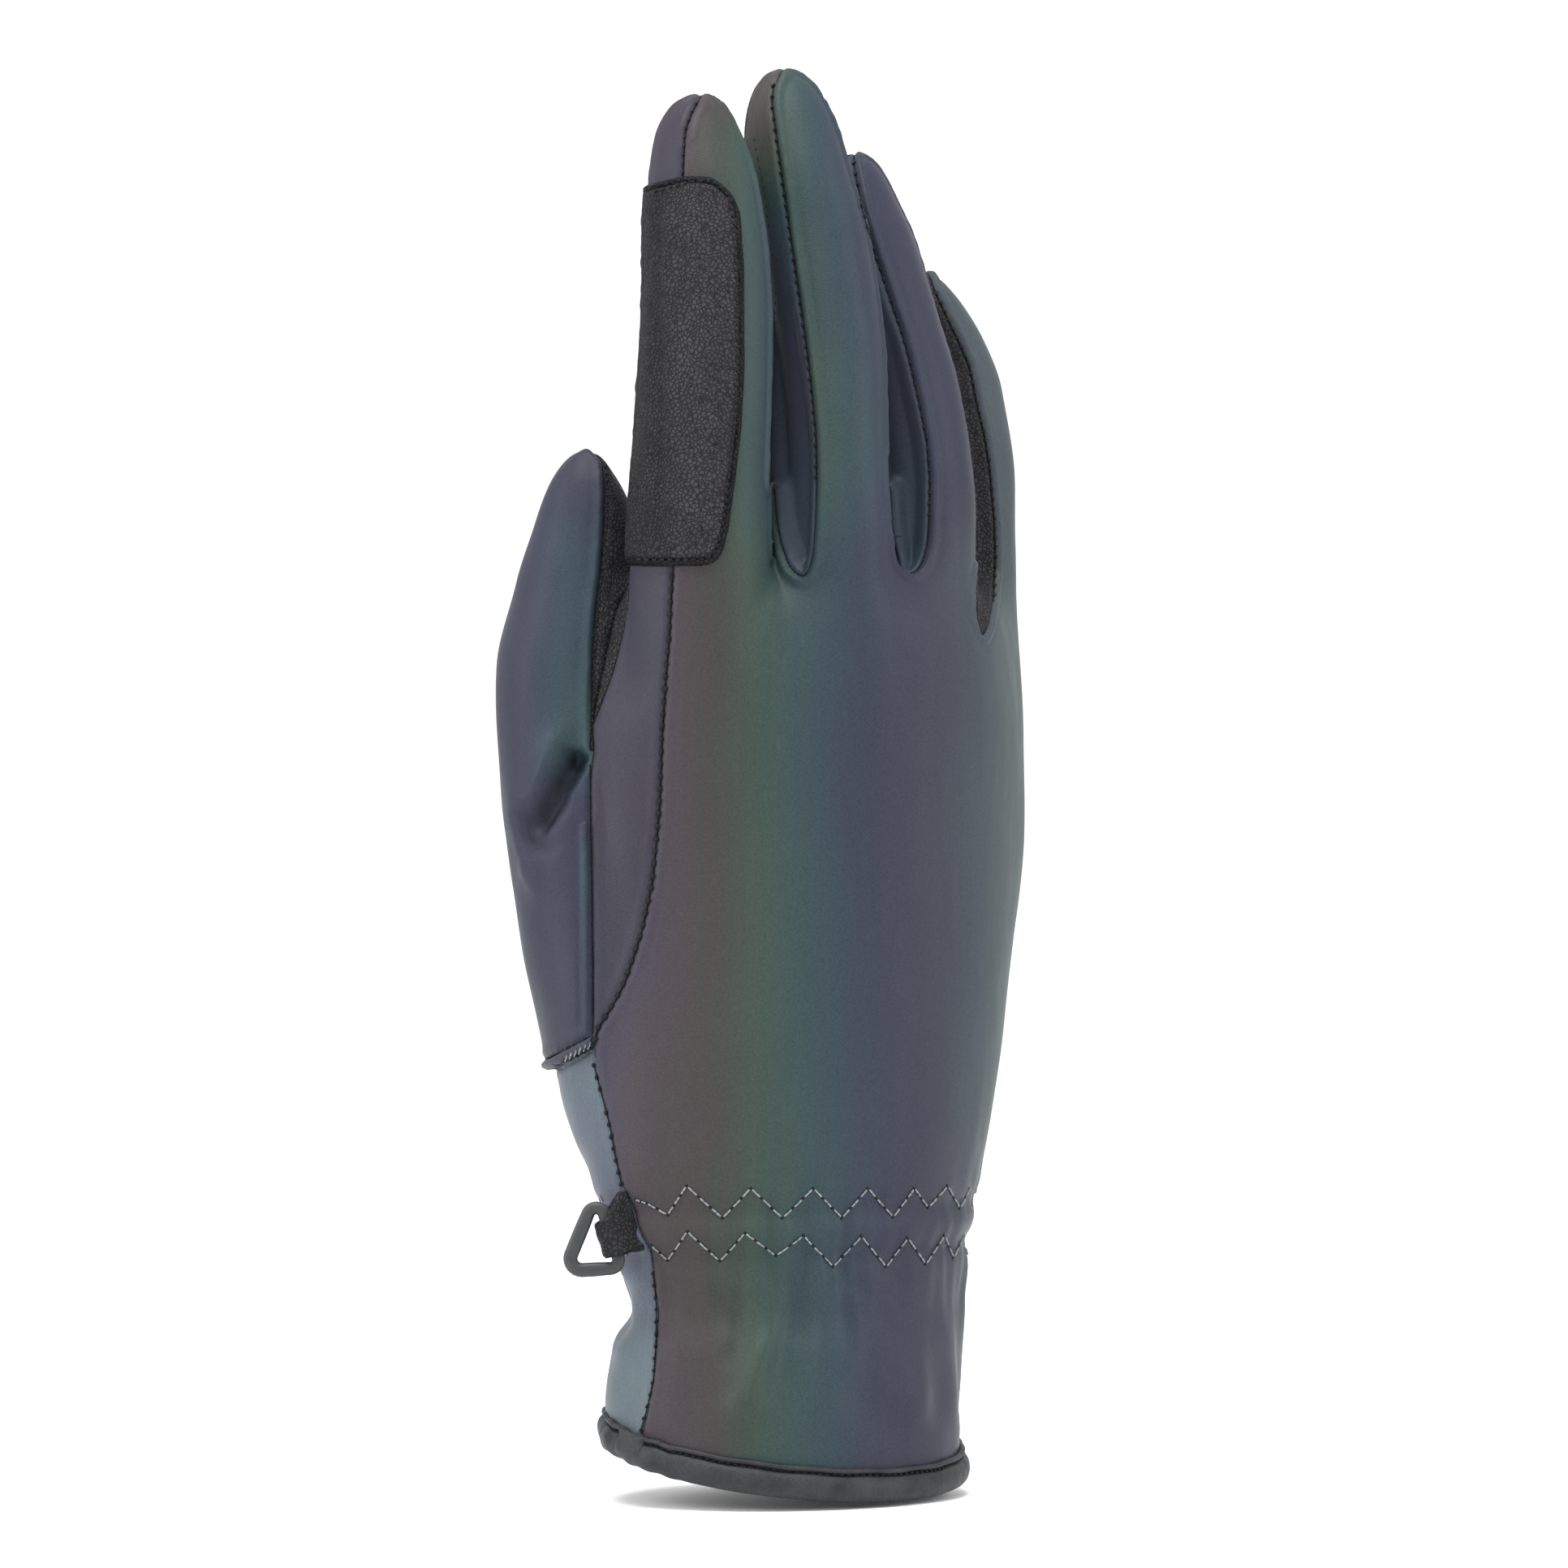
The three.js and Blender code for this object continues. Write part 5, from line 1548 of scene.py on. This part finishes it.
class Look:
    def __init__(self, name):
        self.m = bpy.data.materials.new(name)
        self.m.use_nodes = True
        self.t = self.m.node_tree
        self.t.nodes.clear()
        self.out = self.node("ShaderNodeOutputMaterial")
        self.b = self.node("ShaderNodeBsdfPrincipled")
        self.link(self.b.outputs[0], self.out.inputs["Surface"])
        self.coord = self.node("ShaderNodeTexCoord").outputs["Object"]

    def node(self, kind, **sets):
        n = self.t.nodes.new(kind)
        for k, v in sets.items():
            setattr(n, k, v)
        return n

    def link(self, a, b):
        self.t.links.new(a, b)

    def scaled(self, sx, sy, sz):
        n = self.node("ShaderNodeMapping")
        n.inputs["Scale"].default_value = (sx, sy, sz)
        self.link(self.coord, n.inputs["Vector"])
        return n.outputs[0]

    def noise(self, vector, scale, detail=2.0, rough=0.5):
        n = self.node("ShaderNodeTexNoise")
        n.inputs["Scale"].default_value = scale
        n.inputs["Detail"].default_value = detail
        n.inputs["Roughness"].default_value = rough
        self.link(vector, n.inputs["Vector"])
        return n.outputs["Fac"]

    def math(self, op, a, b=None, clamp=False):
        n = self.node("ShaderNodeMath", operation=op, use_clamp=clamp)
        for i, v in enumerate((a, b)):
            if v is None:
                continue
            if isinstance(v, (int, float)):
                n.inputs[i].default_value = v
            else:
                self.link(v, n.inputs[i])
        return n.outputs[0]

    def span(self, v, a, b, c, d):
        n = self.node("ShaderNodeMapRange")
        n.inputs[1].default_value, n.inputs[2].default_value = a, b
        n.inputs[3].default_value, n.inputs[4].default_value = c, d
        self.link(v, n.inputs[0])
        return n.outputs[0]

    def ramp(self, v, stops, mode="LINEAR"):
        n = self.node("ShaderNodeValToRGB")
        n.color_ramp.interpolation = mode
        e = n.color_ramp.elements
        while len(e) > 1:
            e.remove(e[-1])
        e[0].position = stops[0][0]
        e[0].color = (*stops[0][1], 1)
        for p, c in stops[1:]:
            x = e.new(p)
            x.color = (*c, 1)
        self.link(v, n.inputs[0])
        return n.outputs[0]

    def mix(self, fac, a, b, kind="MIX"):
        n = self.node("ShaderNodeMix", data_type="RGBA", blend_type=kind)
        for i, v in ((0, fac), (6, a), (7, b)):
            if isinstance(v, (int, float)):
                n.inputs[i].default_value = v
            elif isinstance(v, tuple):
                n.inputs[i].default_value = (*v, 1)
            else:
                self.link(v, n.inputs[i])
        return n.outputs[2]

    def bump(self, height, strength, distance, under=None):
        n = self.node("ShaderNodeBump")
        n.inputs["Strength"].default_value = strength
        n.inputs["Distance"].default_value = distance
        self.link(height, n.inputs["Height"])
        if under is not None:
            self.link(under, n.inputs["Normal"])
        return n.outputs[0]

    def attribute(self, name):
        return self.node("ShaderNodeAttribute", attribute_name=name).outputs["Fac"]

    def set(self, **values):
        for k, v in values.items():
            k = k.replace("_", " ")
            if isinstance(v, (int, float, tuple)):
                self.b.inputs[k].default_value = (*v, 1) if isinstance(v, tuple) and len(v) == 3 else v
            else:
                self.link(v, self.b.inputs[k])
        return self


BANDS = [(735, (83, 84, 99)), (792, (82, 79, 95)), (832, (92, 80, 86)), (872, (82, 81, 79)), (908, (82, 92, 84)), (940, (74, 96, 88)), (985, (70, 93, 99)), (1040, (68, 80, 95)), (1095, (70, 71, 90)), (1150, (74, 75, 91)), (1200, (84, 94, 104)), (1250, (96, 110, 110))]
GAIN = 0.39


def richer(c, k=0.95):
    g = sum(c) / 3
    return tuple(min(255, max(0, g + (v - g) * k)) for v in c)


def softshell(name, tint=1.0, deep=1.0):
    k = Look(name)
    band_ = k.attribute("band")
    drift = k.noise(k.scaled(1, 1, 0.35), 38, 2.0)
    grainy = k.noise(k.scaled(1, 1, 0.12), 620, 2.0)
    pos = k.math("ADD", band_, k.math("MULTIPLY", k.math("SUBTRACT", drift, 0.5), 0.07))
    pos = k.math("ADD", pos, k.math("MULTIPLY", k.math("SUBTRACT", grainy, 0.5), 0.035))
    stops = [((p - 700) / 600, tuple(lin(v) * GAIN * tint for v in richer(c))) for p, c in BANDS]
    colour = k.ramp(pos, stops, "B_SPLINE")
    # painted shade: the colour darkens in the groove along each seam
    seam = k.attribute("seam")
    shade = k.span(seam, 0.0, 0.24, 0.3 * deep, 1.0)
    speck = k.noise(k.scaled(1, 1, 1), 2600, 1.0)
    fleck = k.span(speck, 0.3, 0.7, 0.90, 1.10)
    total = k.math("MULTIPLY", shade, fleck)
    # painted shade: the colour in the thumb's root hollow is darkened down to 0.42
    total = k.math("MULTIPLY", total, k.span(k.attribute("deep"), 0.0, 1.0, 1.0, 0.42))
    n = k.node("ShaderNodeVectorMath", operation="SCALE")
    k.link(colour, n.inputs[0])
    k.link(total, n.inputs["Scale"])
    k.set(Base_Color=n.outputs[0])
    rough_ = k.span(k.noise(k.scaled(1, 1, 0.3), 240, 2.0), 0.3, 0.7, 0.40, 0.52)
    k.set(Roughness=rough_, Sheen_Weight=0.012, Sheen_Roughness=0.4, Sheen_Tint=(0.80, 0.88, 1.0), Specular_IOR_Level=0.16, IOR=1.36)
    weave = k.node("ShaderNodeTexWave", wave_type="BANDS", bands_direction="DIAGONAL")
    weave.inputs["Scale"].default_value = 900
    weave.inputs["Distortion"].default_value = 1.5
    k.link(k.coord, weave.inputs["Vector"])
    h = k.math("ADD", k.math("MULTIPLY", weave.outputs["Fac"], 0.35), k.noise(k.coord, 1500, 2.0))
    soft_ = k.noise(k.coord, 130, 2.0)
    low_ = k.bump(soft_, 0.16, 0.0009)
    k.set(Normal=k.bump(h, 0.10, 0.00022, low_))
    return k.m


def pebble(name, dark_=(0.008, 0.008, 0.0095), pale=(0.034, 0.034, 0.037), scale=1450):
    k = Look(name)
    v = k.node("ShaderNodeTexVoronoi", feature="DISTANCE_TO_EDGE")
    v.inputs["Scale"].default_value = scale
    wob_ = k.node("ShaderNodeTexNoise")
    wob_.inputs["Scale"].default_value = 900
    k.link(k.coord, wob_.inputs["Vector"])
    w = k.node("ShaderNodeMix", data_type="VECTOR")
    w.inputs[0].default_value = 0.0006
    k.link(k.coord, w.inputs[4])
    k.link(wob_.outputs["Color"], w.inputs[5])
    k.link(w.outputs[1], v.inputs["Vector"])
    cell = k.span(v.outputs["Distance"], 0.0, 0.22, 0.0, 1.0)
    patchy = k.noise(k.coord, 260, 3.0)
    colour = k.mix(k.math("MULTIPLY", cell, k.span(patchy, 0.3, 0.75, 0.55, 1.0)), dark_, pale)
    seam = k.attribute("seam") if name != "tab_grain" else None
    # painted shade: the colour darkens in the groove along each seam
    if seam is not None:
        shade = k.span(seam, 0.02, 0.35, 0.35, 1.0)
        n = k.node("ShaderNodeVectorMath", operation="SCALE")
        k.link(colour, n.inputs[0])
        k.link(shade, n.inputs["Scale"])
        colour = n.outputs[0]
    if name == "patch_grain":
        # the border strip is darker, and the part beyond the bend on the left is darkened as painted shade
        edge_dark = k.math("MULTIPLY", k.span(k.attribute("flange"), 0, 1, 1.0, 0.42), k.span(k.attribute("left"), 0, 1, 1.0, 0.62))
        n = k.node("ShaderNodeVectorMath", operation="SCALE")
        k.link(colour, n.inputs[0])
        k.link(edge_dark, n.inputs["Scale"])
        colour = n.outputs[0]
    k.set(Base_Color=colour)
    k.set(Roughness=k.span(patchy, 0.25, 0.75, 0.40, 0.56), Specular_IOR_Level=0.1, IOR=1.36, Sheen_Weight=0.0)
    fine_ = k.noise(k.coord, 4200, 2.0)
    h = k.math("ADD", cell, k.math("MULTIPLY", fine_, 0.25))
    k.set(Normal=k.bump(h, 0.75, 0.00016, k.bump(k.noise(k.coord, 150, 2.0), 0.25, 0.0007)))
    return k.m


def folded(name):
    k = Look(name)
    weave = k.node("ShaderNodeTexVoronoi", feature="F1")
    weave.inputs["Scale"].default_value = 2300
    k.link(k.coord, weave.inputs["Vector"])
    patchy = k.noise(k.coord, 190, 3.0)
    colour = k.mix(k.span(patchy, 0.3, 0.7, 0, 1), (0.014, 0.015, 0.016), (0.030, 0.031, 0.033))
    # painted shade: the colour darkens in the binding's stitch groove
    shade = k.span(k.attribute("seam"), 0.05, 0.38, 0.12, 1.0)
    shade = k.math("MULTIPLY", shade, k.span(weave.outputs["Distance"], 0.0, 0.6, 0.82, 1.12))
    n = k.node("ShaderNodeVectorMath", operation="SCALE")
    k.link(colour, n.inputs[0])
    k.link(shade, n.inputs["Scale"])
    k.set(Base_Color=n.outputs[0], Roughness=k.span(patchy, 0.3, 0.7, 0.42, 0.56), Specular_IOR_Level=0.2, IOR=1.4, Sheen_Weight=0.0, Sheen_Roughness=0.5)
    k.set(Normal=k.bump(weave.outputs["Distance"], 0.35, 0.00015, k.bump(patchy, 0.3, 0.0008)))
    return k.m


def moulded(name):
    k = Look(name)
    patchy = k.noise(k.coord, 420, 3.0)
    fine_ = k.noise(k.coord, 3600, 2.0)
    geo = k.node("ShaderNodeNewGeometry").outputs["Pointiness"]
    worn = k.span(geo, 0.50, 0.56, 0.0, 1.0)
    colour = k.mix(k.span(patchy, 0.3, 0.7, 0, 1), (0.020, 0.021, 0.022), (0.030, 0.031, 0.033))
    colour = k.mix(k.math("MULTIPLY", worn, 0.5), colour, (0.055, 0.057, 0.060))
    k.set(Base_Color=colour, Roughness=k.span(patchy, 0.3, 0.7, 0.36, 0.48), Specular_IOR_Level=0.24)
    k.set(Normal=k.bump(fine_, 0.22, 0.00012, k.bump(patchy, 0.2, 0.0004)))
    return k.m


def thread(name, a, b):
    k = Look(name)
    twist = k.node("ShaderNodeTexWave", wave_type="BANDS", bands_direction="DIAGONAL")
    twist.inputs["Scale"].default_value = 1600
    twist.inputs["Distortion"].default_value = 2.0
    k.link(k.coord, twist.inputs["Vector"])
    fuzz = k.noise(k.coord, 1500, 2.0)
    k.set(Base_Color=k.mix(k.math("MULTIPLY", twist.outputs["Fac"], fuzz), a, b), Roughness=k.span(fuzz, 0.3, 0.7, 0.5, 0.7), Specular_IOR_Level=0.15, Sheen_Weight=0.02)
    k.set(Normal=k.bump(twist.outputs["Fac"], 0.5, 0.00012))
    return k.m


SHELL = softshell("softshell")
SIDE = softshell("softshell_side", 0.84)
SLOT = softshell("softshell_between_fingers", 1.05)
# the wrist side panel is 1.9 times lighter: partly its own paler colour, partly painted light for the light on its
# left-facing side
WRIST_PALER_AND_PAINTED_LIGHT = softshell("softshell_wrist_paler_and_painted_light", 1.9)
GRAIN = pebble("grain")
PATCH = pebble("patch_grain", (0.008, 0.008, 0.0095), (0.040, 0.040, 0.043))
TAB = pebble("tab_grain", (0.008, 0.008, 0.009), (0.030, 0.030, 0.033))
FOLD = folded("binding_cloth")
PLASTIC = moulded("moulded_plastic")
BLACK = thread("thread_dark", (0.003, 0.003, 0.0035), (0.012, 0.012, 0.014))
PALE = thread("thread_pale", (0.12, 0.13, 0.135), (0.34, 0.36, 0.375))


def dress(ob, material):
    ob.data.materials.clear()
    ob.data.materials.append(material)


for name in ("back_panel", "thumb_back", "thumb_hem"):
    dress(panels[name], SHELL)
dress(panels["index_side_panel"], SIDE)
dress(panels["wrist_side_panel"], WRIST_PALER_AND_PAINTED_LIGHT)
dress(panels["fourchette_index_middle"], SLOT)
dress(panels["fourchette_middle_ring"], SLOT)
for name in ("fourchette_ring_little", "palm_panel", "thumb_grip"):
    dress(panels[name], GRAIN)
dress(patch, PATCH)
dress(binding, FOLD)
dress(flap, FOLD)
dress(tab, TAB)
dress(hook, PLASTIC)
dress(stitches_dark, BLACK)
dress(stitches_light, PALE)

# ---------------------------------------------------------------- floor, light and camera


def stage_sweep():
    """A pale floor that turns up into a wall behind the glove."""
    back_way = np.array([ST, CT, 0.0])
    side_way = np.array([CT, -ST, 0.0])
    low_z = -0.0062
    prof = [(-2.5, 0.0), (1.6, 0.0)]
    for a in np.radians(np.arange(0, 91, 6)):
        prof.append((1.6 + 1.0 * math.sin(a), 1.0 - 1.0 * math.cos(a)))
    prof.append((2.6, 3.4))
    V_, F_ = [], []
    for d__, h in prof:
        for w in np.linspace(-3, 3, 9):
            V_.append(back_way * d__ + side_way * w + np.array([0, 0, low_z + h]))
    for i in range(len(prof) - 1):
        for j in range(8):
            a = i * 9 + j
            F_.append((a, a + 1, a + 10, a + 9))
    me = bpy.data.meshes.new("floor")
    me.from_pydata([tuple(v) for v in V_], [], F_)
    me.polygons.foreach_set("use_smooth", [True] * len(me.polygons))
    ob = bpy.data.objects.new("floor", me)
    bpy.context.scene.collection.objects.link(ob)
    k = Look("pale_floor")
    fleck = k.noise(k.coord, 60, 2.0)
    k.set(Base_Color=k.mix(fleck, (0.93, 0.93, 0.935), (0.95, 0.95, 0.955)), Roughness=0.85, Specular_IOR_Level=0.1)
    me.materials.append(k.m)


stage_sweep()
world = bpy.data.worlds.new("studio")
world.use_nodes = True
world.node_tree.nodes["Background"].inputs[0].default_value = (1, 1, 1, 1)
world.node_tree.nodes["Background"].inputs[1].default_value = 0.85
bpy.context.scene.world = world


def area(name, at_uvz, size, power, aim=(0, 0, 0.113), colour=(1, 1, 1)):
    u, d, z = at_uvz
    light_ = bpy.data.lights.new(name, "AREA")
    light_.shape = "RECTANGLE"
    light_.size, light_.size_y = size
    light_.energy = power
    light_.color = colour
    ob = bpy.data.objects.new(name, light_)
    ob.location = Vector((u * CT + d * ST, -u * ST + d * CT, z))
    ob.rotation_euler = (Vector(aim) - ob.location).to_track_quat("-Z", "Y").to_euler()
    bpy.context.scene.collection.objects.link(ob)


area("over", (-0.1, -0.30, 1.25), (0.9, 0.8), 22)
area("left", (-1.15, -0.35, 0.45), (0.5, 1.3), 12)
area("right", (1.15, -0.25, 0.4), (0.5, 1.3), 9)
area("front", (-0.3, -1.5, 0.8), (0.7, 0.7), 5)

camera = bpy.data.cameras.new("camera")
camera.sensor_width = 36
camera.lens = 36 * REACH / (1932 * POINT)
camera.clip_start, camera.clip_end = 0.05, 30
cam = bpy.data.objects.new("camera", camera)
cam.location = Vector(EYE * MM)
cam.rotation_euler = Vector(-TO_EYE).to_track_quat("-Z", "Y").to_euler()
bpy.context.scene.collection.objects.link(cam)
bpy.context.scene.camera = cam
bpy.context.scene.view_settings.view_transform = "Standard"

bpy.context.view_layer.update()
